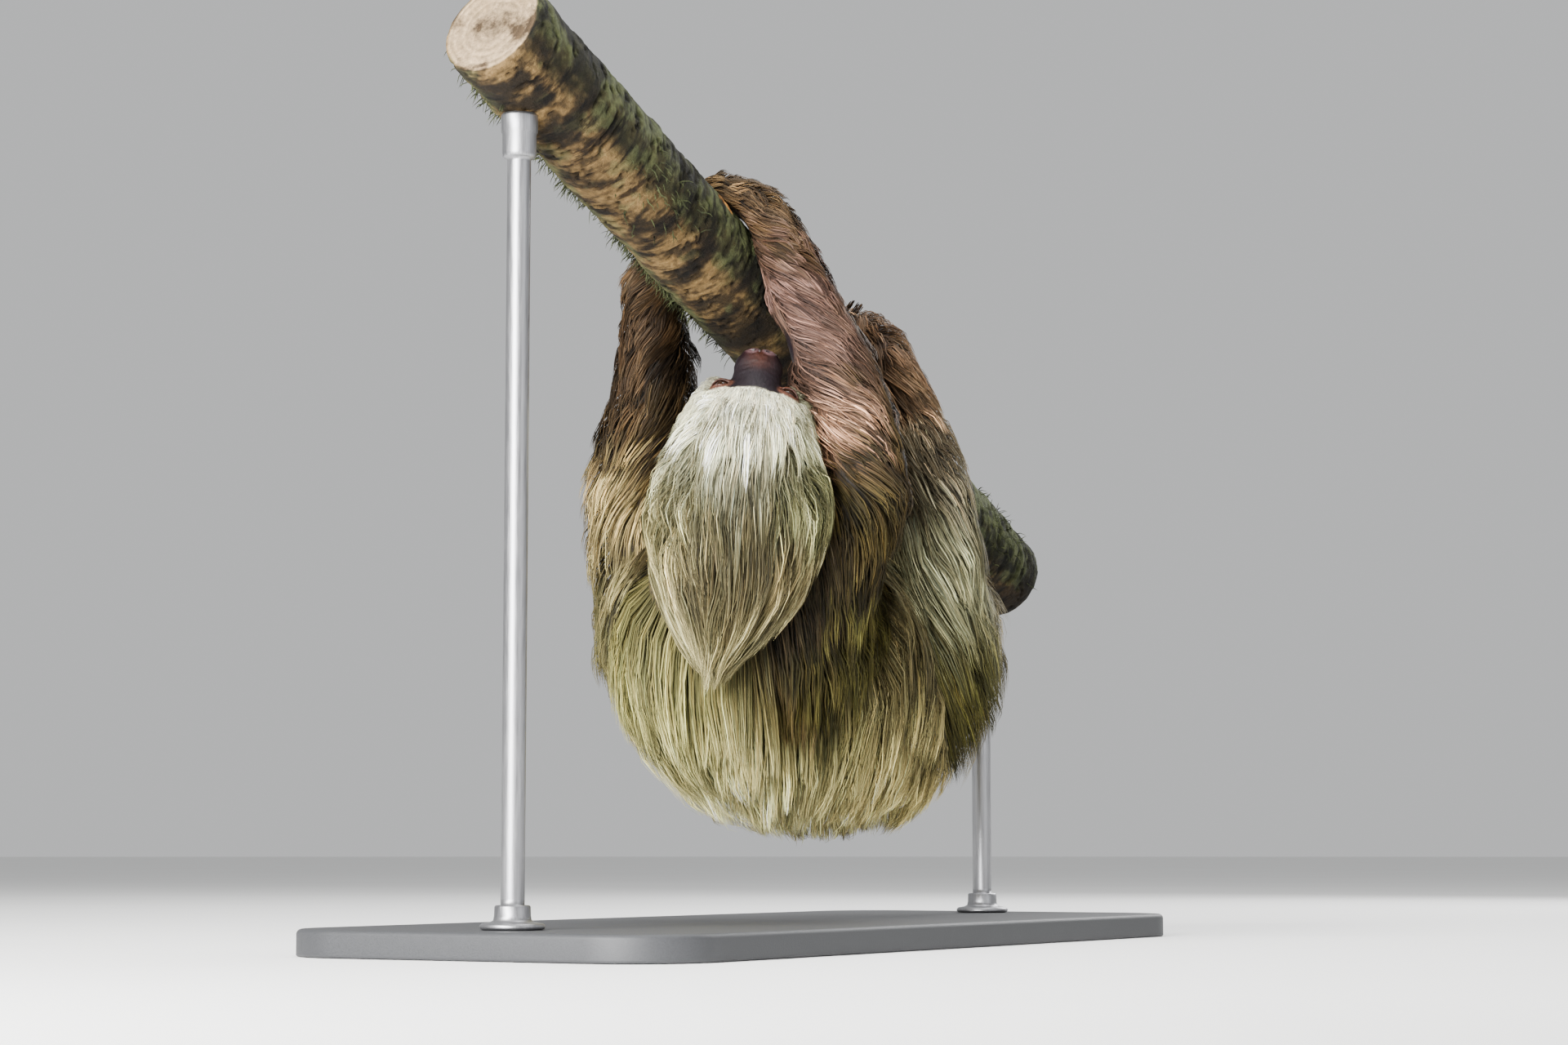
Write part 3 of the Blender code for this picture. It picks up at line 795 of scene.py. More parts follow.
def with_tips(corners, tips):
    """Rows for the three corners of every ring, tuft by tuft, each tuft ending in its tip's row."""
    rings = np.stack(corners, axis=2).reshape(len(tips), -1, 3)
    return np.concatenate([rings, tips], axis=1).reshape(-1, 3)


def build_tufts(name, paths, normals, widths, colours, patches):
    """Closed, tapered tufts of three sides, with a root patch on the OFBake map.

    Paths are (N, K, 3). Their shading normals lean toward the body's own, so the coat reads as soft.
    """
    count, steps = paths.shape[:2]
    rings = steps - 1
    tangents = unit(np.gradient(paths, axis=1))
    sides = unit(np.cross(tangents, normals[:, None, :]))
    ups = np.cross(sides, tangents)
    fall = np.linspace(0.0, 1.0, steps)[:-1]
    taper = (0.95 + 0.25 * fall) * (1.0 - fall ** 1.7) + 0.07 * fall
    spread = 0.5 * widths[:, None, None] * taper[None, :, None]
    corners, leans = [], []
    for angle in (math.pi / 2.0, math.pi * 7.0 / 6.0, math.pi * 11.0 / 6.0):
        out = sides[:, :-1] * math.cos(angle) * 1.15 + ups[:, :-1] * math.sin(angle) * 0.62
        corners.append(paths[:, :-1] + spread * out)
        leans.append(unit(mix(out, normals[:, None, :], SOFTNESS)))
    tip = rings * 3
    faces = [(0, 1, 2)]
    for ring in range(rings - 1):
        for corner in range(3):
            a, b = ring * 3 + corner, ring * 3 + (corner + 1) % 3
            faces += [(a, b + 3, b), (a, a + 3, b + 3)]
    faces += [(tip - 3 + (corner + 1) % 3, tip - 3 + corner, tip) for corner in range(3)]
    template = np.array(faces)
    size = tip + 1
    everything = (template[None] + (np.arange(count) * size)[:, None, None]).reshape(-1, 3)
    mesh = mesh_from(name, with_tips(corners, paths[:, -1:]), everything)
    mesh.normals_split_custom_set_from_vertices(with_tips(leans, normals[:, None, :]).astype(np.float32))
    paint(mesh, with_tips([colours[:, :-1]] * 3, colours[:, -1:]))
    across = np.append(np.tile((0.0, 0.5, 1.0), rings), 0.5) * 0.003
    onward = np.append(np.repeat(np.arange(rings), 3), rings) / rings * 0.003
    spots = patches[:, None, :] * 0.996 + np.stack([across, onward], axis=-1)[None] + 0.0005
    layer = mesh.uv_layers.new(name="OFBake")
    layer.uv.foreach_set("vector", spots.reshape(-1, 2)[everything.ravel()].astype(np.float32).ravel())
    return mesh


def scatter(rng, part_number, weigh, count):
    """Random roots on the skin of one part, more where weigh is larger."""
    chosen = np.flatnonzero(SKIN_PARTS == part_number)
    weight = SKIN_AREAS[chosen] * weigh(SKIN_MIDDLES[chosen])
    picks = rng.choice(chosen, size=count, p=weight / weight.sum())
    first, second = rng.random(count), rng.random(count)
    folded = first + second > 1.0
    first, second = np.where(folded, 1.0 - first, first), np.where(folded, 1.0 - second, second)
    start, one, two = np.moveaxis(SKIN_CORNERS[picks], 1, 0)
    return start + first[:, None] * (one - start) + second[:, None] * (two - start)


# The skin piece

SKIN_MESH = join_skin().data
SKIN_POINTS = vertex_places(SKIN_MESH)
SKIN_MESH.calc_loop_triangles()
triangles = np.empty(len(SKIN_MESH.loop_triangles) * 3, np.int32)
SKIN_MESH.loop_triangles.foreach_get("vertices", triangles)
SKIN_CORNERS = SKIN_POINTS[triangles.reshape(-1, 3)]
SKIN_MIDDLES = SKIN_CORNERS.mean(axis=1)
SKIN_EDGES = SKIN_CORNERS[:, 1:] - SKIN_CORNERS[:, :1]
SKIN_AREAS = 0.5 * np.linalg.norm(np.cross(SKIN_EDGES[:, 0], SKIN_EDGES[:, 1]), axis=1)
SKIN_PARTS = nearest_part(SKIN_MIDDLES)
FLESH_NODES = ["head", "neck", "muzzle", "torso", "ear_left", "ear_right"]
FLESH_NODES += [f"{node}_{side}" for node in ARM_NODES + LEG_NODES for side in SIDES]


def outer_surface():
    """Triangles of the CAD coat that face the open air, as a search tree."""
    trees = {}
    for node in FLESH_NODES:
        mesh = bpy.data.objects[node].data
        trees[node] = BVHTree.FromPolygons([v.co for v in mesh.vertices], [p.vertices for p in mesh.polygons])
    vertices, faces = [], []
    for node in FLESH_NODES:
        mesh = bpy.data.objects[node].data
        start = len(vertices)
        vertices += [v.co.copy() for v in mesh.vertices]
        for polygon in mesh.polygons:
            others = (trees[other] for other in FLESH_NODES if other != node)
            if all(tree.find_nearest(polygon.center, 0.0012)[0] is None for tree in others):
                faces.append([start + index for index in polygon.vertices])
    return BVHTree.FromPolygons(vertices, faces)


OUTER = outer_surface()


def inside_outline(points):
    """How far inside the CAD outline each point is, and the outline's outward way there."""
    found = [OUTER.find_nearest(Vector(point)) for point in points]
    nearest = np.array([hit[0] for hit in found])
    outward = np.array([hit[1] for hit in found])
    gap = np.array([hit[3] for hit in found])
    return np.where(np.sum((nearest - points) * outward, axis=1) > 0.0, gap, -gap), outward


# How hair lies

HEAD_STATIONS = np.array((
    (0.197, -0.045, -0.136, 0.011, 0.011, 0.010),
    (0.216, -0.037, -0.133, 0.033, 0.023, 0.018),
    (0.245, -0.030, -0.127, 0.054, 0.034, 0.026),
    (0.276, -0.027, -0.120, 0.069, 0.042, 0.034),
    (0.309, -0.027, -0.115, 0.073, 0.048, 0.040),
    (0.343, -0.026, -0.113, 0.068, 0.046, 0.042),
    (0.374, -0.022, -0.110, 0.053, 0.037, 0.036),
    (0.405, -0.016, -0.106, 0.037, 0.020, 0.026),
))


def mane_station(heights):
    """Middle and half sizes of the mane at the given heights."""
    return [np.interp(heights, HEAD_STATIONS[:, 0], HEAD_STATIONS[:, column]) for column in range(1, 6)]


def mane_flow(points):
    """Away from the snout over the face, then down, drawing together into the tip of the mane."""
    drop = 0.010
    x, y, across, front, back = mane_station(points[:, 2])
    x2, y2, across2, front2, back2 = mane_station(points[:, 2] - drop)
    ahead = points[:, 1] < y
    ratio = np.where(ahead, front2 / front, back2 / back)
    lower = np.stack([x2 + (points[:, 0] - x) * across2 / across,
                      y2 + (points[:, 1] - y) * ratio, points[:, 2] - drop], axis=-1)
    hanging = unit(lower - points)
    fanning = unit(points - SNOUT)
    share = smoothstep(0.020, 0.135, from_snout(points))[:, None] ** 0.7
    return unit(mix(fanning, hanging, share))


def steady_flow(direction):
    """Hair that hangs one way all over."""
    way = unit(np.array(direction))
    return lambda points: np.tile(way, (len(points), 1))


def mane_shape(paths):
    """Fill out the mane's oval outline, and keep its hair inside it."""
    x, _, across = mane_station(paths[..., 2])[:3]
    share = (paths[..., 0] - x) / across
    size = np.abs(share)
    bulge = np.exp(-((paths[..., 2] - 0.330) / 0.038) ** 2) * smoothstep(0.35, 0.85, size)
    size = size * (1.0 + 0.13 * bulge)
    size = np.minimum(size, 0.86) + 0.17 * (1.0 - np.exp(-np.maximum(size - 0.86, 0.0) / 0.17))
    shaped = paths.copy()
    below = smoothstep(0.402, 0.382, paths[..., 2])
    shaped[..., 0] += (x + np.sign(share) * size * across - paths[..., 0]) * below
    return shaped


def torso_flow(points):
    """Down from the belly's parting, and a little to the rump."""
    parting, across = vec(0.020, 0.060, 0.228), vec(0.86, -0.50, 0.0)
    outward = np.sign((points - parting) @ across)[:, None] * across
    high = smoothstep(0.235, 0.30, points[:, 2:])
    return unit(DOWN + outward * 0.9 * high + vec(0.06, 0.10, 0.0))


def arm_flow(side):
    """Down and outward from the wrist, then down the upper arm."""
    outward = vec(1.90, -0.50, 0.0) if side == "right" else vec(-0.75, -0.25, 0.0)

    def flow(points):
        on_forearm = smoothstep(0.30, 0.37, points[:, 2:])
        from_trunk = unit(points - PERCH_POINT) * smoothstep(0.46, 0.53, points[:, 2:])
        return unit(DOWN + outward * (0.06 + 0.94 * on_forearm) + from_trunk * 0.4)

    return flow


def along_hair(steps):
    """0 at a hair's root to 1 at its tip, in the shape of paths."""
    return np.linspace(0.0, 1.0, steps)[None, :, None]


def grow(roots, normals, lengths, depth_range, flow, steps, rng, wave):
    """Paths of hair that rise to their layer of the coat, follow the flow and end at the outline."""
    count = len(roots)
    layer = 0.36 + 0.76 * rng.random(count) ** 0.55
    margin = 0.001 + np.abs(rng.normal(0.0, 0.0026, count)) * np.where(rng.random(count) < 0.12, 2.6, 1.0)
    position = roots - normals * 0.0008
    path = [position]
    heading = unit(normals * 0.9 + flow(roots))
    stride = (lengths / (steps - 1))[:, None]
    depths = np.clip(inside_outline(roots)[0], *depth_range)
    for number in range(1, steps):
        fall = number / (steps - 1)
        outward = flesh_normal(position)
        way = flow(position)
        near = smoothstep(1.5, 0.6, flesh_distance(position) / depths)[:, None]
        way = way - outward * np.minimum(dot(way, outward), 0.0) * near
        way = way - outward * np.maximum(dot(way, outward), 0.0) * near * 0.5
        heading = unit(heading * 0.55 + unit(way) + rng.normal(0.0, 0.09, (count, 3)))
        moved = position + heading * stride
        outward = flesh_normal(moved)
        height = flesh_distance(moved)
        inside, out_of_coat = inside_outline(moved)
        depths = np.minimum(np.clip(height + inside, *depth_range), lengths * 0.8)
        want = depths * layer * (1.0 - (1.0 - min(fall * 1.5, 1.0)) ** 1.7) + 0.0008
        short = want - height
        under = smoothstep(-0.15, 0.45, -outward[:, 2])
        pull = np.where(short > 0.0, short, short * 0.75 * (1.0 - under))
        limit = np.minimum(inside + margin, 0.0)
        moved = moved + outward * np.minimum(pull, np.maximum(inside + margin, 0.0))[:, None]
        moved = moved + out_of_coat * limit[:, None]
        moved = moved + off_the_trunk(moved)
        path.append(moved)
        position = moved
    path = np.stack(path, axis=1)
    fall = along_hair(steps)
    sway = np.stack([noise(path + 0.7 * axis, 0.014) for axis in range(3)], axis=-1)
    return path + sway * wave * fall


def off_the_trunk(points):
    """The move that keeps hair out of the trunk."""
    away = points - PERCH_POINT
    radial = unit(away - dot(away, ALONG) * ALONG)
    within = np.maximum(0.0018 - perch_distance(points), 0.0)[:, None]
    return radial * np.minimum(within, 0.02)


def gather(paths, rng, size, pinch, strength):
    """Draw neighbouring hairs together into locks; also gives each hair's lock."""
    count, steps = paths.shape[:2]
    guides = rng.choice(count, size=max(count // size, 1), replace=False)
    tree = kdtree.KDTree(len(guides))
    for number, guide in enumerate(guides):
        tree.insert(Vector(paths[guide, 0]), number)
    tree.balance()
    lock = np.array([tree.find(Vector(root))[1] for root in paths[:, 0]])
    guide_paths = paths[guides[lock]]
    fall = along_hair(steps)
    offset = (paths[:, :1] - guide_paths[:, :1]) * (1.0 - pinch * fall)
    share = strength * np.minimum(fall * 1.4, 1.0)
    return mix(paths, guide_paths + offset, share), lock


def tuft_colours(paths, part, rng, locks, contrast):
    """Colours from root to tip: the marking under the hair, varied by its lock and by the hair, and darker
    toward the root, partly as painted shade in the coat.
    """
    count, steps = paths.shape[:2]
    jitter = rng.normal(0.0, 0.006, (count, 1, 3)) + rng.normal(0.0, 0.009, (locks.max() + 1, 1, 3))[locks]
    places = paths[:, :1] * 0.15 + paths * 0.85 + jitter
    tone = coat_tone(places, part)
    fall = along_hair(steps)
    own = rng.normal(0.0, contrast, (count, 1, 1))
    shared = rng.normal(0.0, contrast, (locks.max() + 1, 1, 1))[locks]
    gain = np.exp(own + shared)
    warm = 1.0 + rng.normal(0.0, 0.05, (count, 1, 1)) * np.array((1.0, 0.0, -1.0))
    # Darker at the root and paler at the tip: partly the hair's own colour, partly painted shade deep in the
    # coat.
    return tone * gain * warm * (0.34 + 0.80 * fall ** 0.7)


def head_length(roots):
    """Short on the face, long from the crown and nape to the tip of the mane."""
    length = np.interp(from_snout(roots), (0.0, 0.012, 0.022, 0.034, 0.050, 0.070, 0.10, 0.15),
                       (0.006, 0.010, 0.018, 0.036, 0.066, 0.095, 0.110, 0.100))
    q = head_places(roots)
    throat = smoothstep(-0.006, -0.024, q[:, 1]) * smoothstep(-0.075, -0.050, q[:, 2])
    length = length * (1.0 - 0.55 * throat)
    eyes = np.minimum.reduce([np.linalg.norm(roots - EYE[side], axis=1) for side in SIDES])
    length = np.minimum(length, 0.022 + 1.12 * np.maximum(roots[:, 2] - 0.212, 0.0))
    return np.minimum(length, 0.0035 + 0.9 * np.maximum(eyes - 0.006, 0.0))


def near_grip(grip):
    """Closer hair toward the wrist or ankle and over the digits."""
    wrist, _, knuckles = grip_joints(grip)

    def weigh(points):
        away = np.minimum(np.linalg.norm(points - wrist, axis=1), np.linalg.norm(points - knuckles, axis=1))
        return 1.0 + 1.6 * smoothstep(0.10, 0.03, away)

    return weigh


def limb_length(grip, longest):
    """Long on the upper limb, shorter toward the wrist or ankle, short over the digits."""
    wrist, _, knuckles = grip_joints(grip)

    def length(roots):
        away = np.linalg.norm(roots - wrist, axis=1)
        reach = np.interp(away, (0.0, 0.05, 0.14, 0.25), (0.024, 0.034, longest * 0.85, longest))
        return np.minimum(reach, 0.006 + 0.45 * np.linalg.norm(roots - knuckles, axis=1))

    return length


def torso_length(roots):
    """Long on the flanks and back, shorter on the belly."""
    return np.interp(roots[:, 2], (0.15, 0.20, 0.26, 0.31), (0.068, 0.095, 0.095, 0.060))


def hairless(roots):
    """True where no hair grows: the muzzle, the eye rims, the palms and the digits' ends."""
    bare = bare_muzzle(head_places(roots)) > 0.85
    for side in SIDES:
        bare |= bare_rim(roots, side) > 0.3
    return bare | (perch_distance(roots) < 0.0015)


PART_NUMBER = {part: number for number, part in enumerate(LINES)}


def grow_coat(part, pieces, count, steps, width, length, flow, lock_size, contrast, depth_range,
              weigh=lambda points: np.ones(len(points)), keep=lambda roots: np.ones(len(roots), bool),
              wave=0.0022, pinch=0.35, lean=0.001, shape=lambda paths: paths, fineness=lambda roots: 1.0):
    """Grow one part's coat and build it as named pieces."""
    rng = np.random.default_rng(SEED + 10 * PART_NUMBER[part] + steps)
    roots = scatter(rng, PART_NUMBER[part], weigh, int(count * 1.6))
    roots = roots[keep(roots) & ~hairless(roots)][:count]
    normals = flesh_normal(roots)
    lengths = length(roots) * rng.uniform(0.75, 1.15, len(roots))
    paths = grow(roots, normals, lengths, depth_range, flow, steps, rng, wave)
    paths, locks = gather(paths, rng, lock_size, pinch, 0.45)
    fall = along_hair(steps)
    ways = rng.normal(0.0, lean, (locks.max() + 1, 1, 3))[locks]
    paths = paths + (ways - normals[:, None] * np.maximum(dot(ways, normals[:, None]), 0.0)) * fall ** 1.5
    paths = shape(gather(paths, rng, 6, 0.65, 0.40)[0])
    colours = tuft_colours(paths, part, rng, locks, contrast)
    widths = width * rng.uniform(0.7, 1.25, len(roots)) * fineness(roots)
    place, turn = along_line(roots, LINES[part], FRONT + 0.3 * UP)
    order = np.argsort(turn)
    for name, chosen in zip(pieces, np.array_split(order, len(pieces))):
        patch = np.stack([turn[chosen], place[chosen]], axis=-1)
        patch = (patch - patch.min(axis=0)) / np.ptp(patch, axis=0)
        yield name, build_tufts(name, paths[chosen], normals[chosen], widths[chosen], colours[chosen], patch)


# Materials

def new_material(name):
    """A material, its node tree and its principled shader."""
    material = bpy.data.materials.new(name)
    material.use_nodes = True
    return material, material.node_tree, material.node_tree.nodes["Principled BSDF"]


def plug_in(socket, value):
    """Link a value into a socket, or set it there as a constant."""
    if isinstance(value, bpy.types.NodeSocket):
        socket.id_data.links.new(value, socket)
    else:
        socket.default_value = value


def shade(node, **values):
    """Set or link a node's sockets by name."""
    for socket, value in values.items():
        plug_in(node.inputs[socket.replace("_", " ")], value)


def add_node(tree, kind, **inputs):
    """A new node with some of its sockets set or linked."""
    node = tree.nodes.new(kind)
    shade(node, **inputs)
    return node


def add_noise(tree, scale, detail=4.0, roughness=0.55, stretch=(1.0, 1.0, 1.0)):
    """Noise over the object's own space."""
    place = add_node(tree, "ShaderNodeTexCoord").outputs["Object"]
    mapped = add_node(tree, "ShaderNodeMapping", Vector=place, Scale=stretch)
    return add_node(tree, "ShaderNodeTexNoise", Vector=mapped.outputs[0], Scale=scale, Detail=detail,
                    Roughness=roughness).outputs["Fac"]


def remap(tree, value, low, high, to_low, to_high):
    """A value moved from one range to another."""
    node = add_node(tree, "ShaderNodeMapRange", Value=value, From_Min=low, From_Max=high,
                    To_Min=to_low, To_Max=to_high)
    return node.outputs[0]


def mix_colours(tree, share, first, second, blend="MIX"):
    """Two colours mixed by a share."""
    node = tree.nodes.new("ShaderNodeMix")
    node.data_type, node.blend_type = "RGBA", blend
    for number, value in ((0, share), (6, first), (7, second)):
        plug_in(node.inputs[number], value)
    return node.outputs[2]


def ramp(tree, value, stops):
    """A colour ramp over a value."""
    node = add_node(tree, "ShaderNodeValToRGB", Fac=value)
    elements = node.color_ramp.elements
    while len(elements) < len(stops):
        elements.new(0.5)
    for element, (place, colour) in zip(elements, stops):
        element.position, element.color = place, (*colour, 1.0)
    return node.outputs["Color"]


def add_bump(tree, shader, height, strength, distance):
    """Bump from a height."""
    bump = add_node(tree, "ShaderNodeBump", Height=height, Strength=strength, Distance=distance)
    shade(shader, Normal=bump.outputs[0])


def painted(tree, variation, scale):
    """The attribute node of the stored colour, and that colour with fine variation over it."""
    stored = add_node(tree, "ShaderNodeAttribute")
    stored.attribute_name = "coat_tone"
    gain = remap(tree, add_noise(tree, scale), 0.25, 0.75, 1.0 - variation, 1.0 + variation)
    grey = add_node(tree, "ShaderNodeCombineColor", Red=gain, Green=gain, Blue=gain).outputs[0]
    return stored, mix_colours(tree, 1.0, stored.outputs["Color"], grey, "MULTIPLY")


def coat_material(name):
    """Matt hair, coloured from root to tip."""
    material, tree, shader = new_material(name)
    shade(shader, Base_Color=painted(tree, 0.16, 260.0)[1], Roughness=0.60, Specular_IOR_Level=0.10)
    return material


def skin_material():
    """Dull skin with a nap of short hair, and a moist nose."""
    material, tree, shader = new_material("skin")
    stored, colour = painted(tree, 0.30, 700.0)
    strands = ramp(tree, add_noise(tree, 900.0, 4.0, 0.6, (1.0, 1.0, 0.10)),
                   ((0.36, (0.18, 0.16, 0.14)), (0.52, (1.0, 1.0, 1.0)), (0.66, (1.7, 1.6, 1.5))))
    furred = mix_colours(tree, 1.0, colour, strands, "MULTIPLY")
    wet = stored.outputs["Alpha"]
    shade(shader, Base_Color=mix_colours(tree, wet, furred, colour),
          Roughness=remap(tree, wet, 0.0, 1.0, 0.72, 0.30), Specular_IOR_Level=0.35)
    add_bump(tree, shader, add_noise(tree, 520.0, 5.0, 0.65, (1.0, 1.0, 0.28)), 0.55, 0.0007)
    return material


def eye_material():
    """Near-black brown eye under a clear wet surface."""
    material, tree, shader = new_material("eye")
    iris = ramp(tree, add_noise(tree, 420.0, 3.0),
                ((0.3, (0.006, 0.003, 0.002)), (0.7, (0.018, 0.008, 0.004))))
    shade(shader, Base_Color=iris, Roughness=0.14, Specular_IOR_Level=0.4, Coat_Weight=0.4,
          Coat_Roughness=0.03)
    return material


def claw_material():
    """Horn with streaks along it, paler toward the tip."""
    material, tree, shader = new_material("claw")
    shade(shader, Base_Color=painted(tree, 0.45, 420.0)[1],
          Roughness=remap(tree, add_noise(tree, 500.0), 0.3, 0.7, 0.36, 0.54), Specular_IOR_Level=0.32)
    add_bump(tree, shader, add_noise(tree, 700.0, 4.0), 0.45, 0.0004)
    return material


def trunk_noise(tree, scale, detail, across, along):
    """Noise drawn out round the trunk, scaled across the axis and along it."""
    place = add_node(tree, "ShaderNodeTexCoord").outputs["Object"]
    turn = Matrix((RIGHT, OVER, ALONG)).to_euler()
    turned = add_node(tree, "ShaderNodeMapping", Vector=place, Rotation=turn)
    mapped = add_node(tree, "ShaderNodeMapping", Vector=turned.outputs[0], Scale=(across, across, along))
    return add_node(tree, "ShaderNodeTexNoise", Vector=mapped.outputs[0], Scale=scale, Detail=detail,
                    Roughness=0.65).outputs["Fac"]


def bark_material():
    """Rough bark: its own painted growths, with fine cracks round the trunk."""
    material, tree, shader = new_material("bark")
    fissures = trunk_noise(tree, 120.0, 6.0, 0.28, 1.0)
    cracks = ramp(tree, fissures, ((0.38, (0.16, 0.14, 0.12)), (0.50, (1.0, 1.0, 1.0)),
                                   (0.60, (0.86, 0.84, 0.80)), (0.72, (1.25, 1.2, 1.1))))
    colour = mix_colours(tree, 1.0, painted(tree, 0.34, 330.0)[1], cracks, "MULTIPLY")
    shade(shader, Base_Color=colour, Roughness=0.88, Specular_IOR_Level=0.2)
    height = add_node(tree, "ShaderNodeMath", Value=fissures)
    height.operation = "ADD"
    plug_in(height.inputs[1], remap(tree, add_noise(tree, 500.0, 6.0, 0.7), 0.2, 0.8, 0.0, 0.35))
    add_bump(tree, shader, height.outputs[0], 1.0, 0.0042)
    return material


def plate_material():
    """Matt dark paint with a fine grain."""
    material, tree, shader = new_material("stand_plate")
    grain = add_noise(tree, 900.0, 3.0)
    shade(shader, Base_Color=ramp(tree, grain, ((0.3, (0.020, 0.021, 0.023)), (0.7, (0.032, 0.033, 0.036)))),
          Roughness=remap(tree, grain, 0.3, 0.7, 0.52, 0.66))
    add_bump(tree, shader, grain, 0.25, 0.0004)
    return material


def steel_material():
    """Satin steel, drawn along the rod."""
    material, tree, shader = new_material("stand_steel")
    grain = add_noise(tree, 1400.0, 3.0, 0.6, (1.0, 1.0, 0.03))
    shade(shader, Base_Color=ramp(tree, grain, ((0.3, (0.24, 0.24, 0.25)), (0.7, (0.36, 0.36, 0.37)))),
          Roughness=remap(tree, grain, 0.3, 0.7, 0.34, 0.48), Metallic=1.0)
    return material


def place_piece(name, mesh, material, slot, nodes):
    """Put a piece in the scene, for the CAD nodes it stands for."""
    piece = bpy.data.objects.get(name)
    if piece is None or piece.data is not mesh:
        piece = bpy.data.objects.new(name, mesh)
        bpy.context.scene.collection.objects.link(piece)
    mesh.materials.clear()
    mesh.materials.append(material)
    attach(piece, "root")
    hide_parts(*nodes)
    return piece


# Skin, coat and eyes

skin_places = head_places(SKIN_POINTS)
wetness = (0.55 + 0.45 * smoothstep(0.014, 0.024, skin_places[:, 2])) * bare_muzzle(skin_places)
for side in SIDES:
    wetness = np.maximum(wetness, 0.6 * bare_rim(SKIN_POINTS, side))
paint(SKIN_MESH, skin_tone(SKIN_POINTS, nearest_part(SKIN_POINTS)), wetness)
place_piece("skin", SKIN_MESH, skin_material(), "bare_skin", FLESH_NODES)

HEAD_NODES = ["head", "neck", "muzzle", "ear_left", "ear_right"]


def short_face(roots):
    """Roots of the face's short hair."""
    return from_snout(roots) < 0.047


def long_mane(roots):
    """Roots of the long hair behind the face."""
    return from_snout(roots) > 0.036


def face_weight(roots):
    """Hair on the face only, closest round the muzzle."""
    away = from_snout(roots)
    return smoothstep(0.052, 0.047, away) * (1.0 + 1.5 * smoothstep(0.034, 0.016, away))


def mane_fineness(roots):
    """Finer hair on the forehead."""
    return 0.58 + 0.42 * smoothstep(0.048, 0.090, from_snout(roots))


coat_head = coat_material("coat_head")
coat_body = coat_material("coat_body")
coat_limbs = coat_material("coat_limbs")
COATS = [
    (coat_head, "coat_head", HEAD_NODES, dict(
        part="head", pieces=["coat_face"], count=11500, steps=4, width=0.00042, length=head_length,
        flow=mane_flow, lock_size=14, contrast=0.16, depth_range=(0.002, 0.016), keep=short_face,
        weigh=face_weight, wave=0.0006)),
    (coat_head, "coat_head", HEAD_NODES, dict(
        part="head", pieces=["coat_mane_1", "coat_mane_2"], count=11600, steps=6, width=0.00095,
        length=head_length, flow=mane_flow, lock_size=20, contrast=0.54, lean=0.0030,
        depth_range=(0.010, 0.050), pinch=0.6, keep=long_mane, shape=mane_shape, fineness=mane_fineness)),
    (coat_body, "coat_body", ["torso"], dict(
        part="torso", pieces=["coat_torso_1", "coat_torso_2", "coat_torso_3"], count=20400, steps=5,
        width=0.0011, length=torso_length, flow=torso_flow, lock_size=24, contrast=0.48, lean=0.0060,
        depth_range=(0.020, 0.060), pinch=0.5)),
]
LIMB_COATS = (("arm", "right", 8300), ("leg", "right", 6200), ("arm", "left", 6100), ("leg", "left", 4000))
for kind, side, count in LIMB_COATS:
    part = f"{kind}_{side}"
    grip = LIMB_NODES[part][-1]
    lie, longest = arm_flow(side), 0.046
    if kind == "leg":
        lie, longest = steady_flow((0.42 * SIDES[side], -0.05, -0.90)), 0.060
    COATS.append((coat_limbs, "coat_limbs", LIMB_NODES[part], dict(
        part=part, pieces=["coat_" + part], count=count, steps=5, width=0.00115,
        length=limb_length(grip, longest), flow=lie, lock_size=24, contrast=0.46, lean=0.0030,
        depth_range=(0.004, 0.036), weigh=near_grip(grip))))
for material, slot, nodes, settings in COATS:
    for name, mesh in grow_coat(**settings):
        place_piece(name, mesh, material, slot, nodes)


def ball_mesh(name, middle, radius, poles, around=40, rings=24):
    """A closed ball with its poles along a given direction."""
    side = unit(np.cross(poles, vec(0.3, 0.5, 0.8)))
    other = np.cross(poles, side)
    vertices = [middle + poles * radius]
    for ring in range(1, rings):
        fall = math.pi * ring / rings
        for step in range(around):
            turn = 2.0 * math.pi * step / around
            out = side * math.cos(turn) + other * math.sin(turn)
            vertices.append(middle + radius * (poles * math.cos(fall) + out * math.sin(fall)))
    vertices.append(middle - poles * radius)
    faces = []
    last = len(vertices) - 1
    for step in range(around):
        after = (step + 1) % around
        faces.append((0, 1 + step, 1 + after))
        faces.append((last, last - around + after, last - around + step))
        for ring in range(rings - 2):
            a, b = 1 + ring * around + step, 1 + ring * around + after
            faces += [(a, a + around, b + around), (a, b + around, b)]
    return mesh_from(name, np.array(vertices), np.array(faces))


eye_finish = eye_material()
for side in SIDES:
    mesh = ball_mesh("eyeball_" + side, EYE[side], EYE_RADIUS, eye_axes(side)[2])
    place_piece("eyeball_" + side, mesh, eye_finish, "eyeball", ["eye_" + side])


# Claws

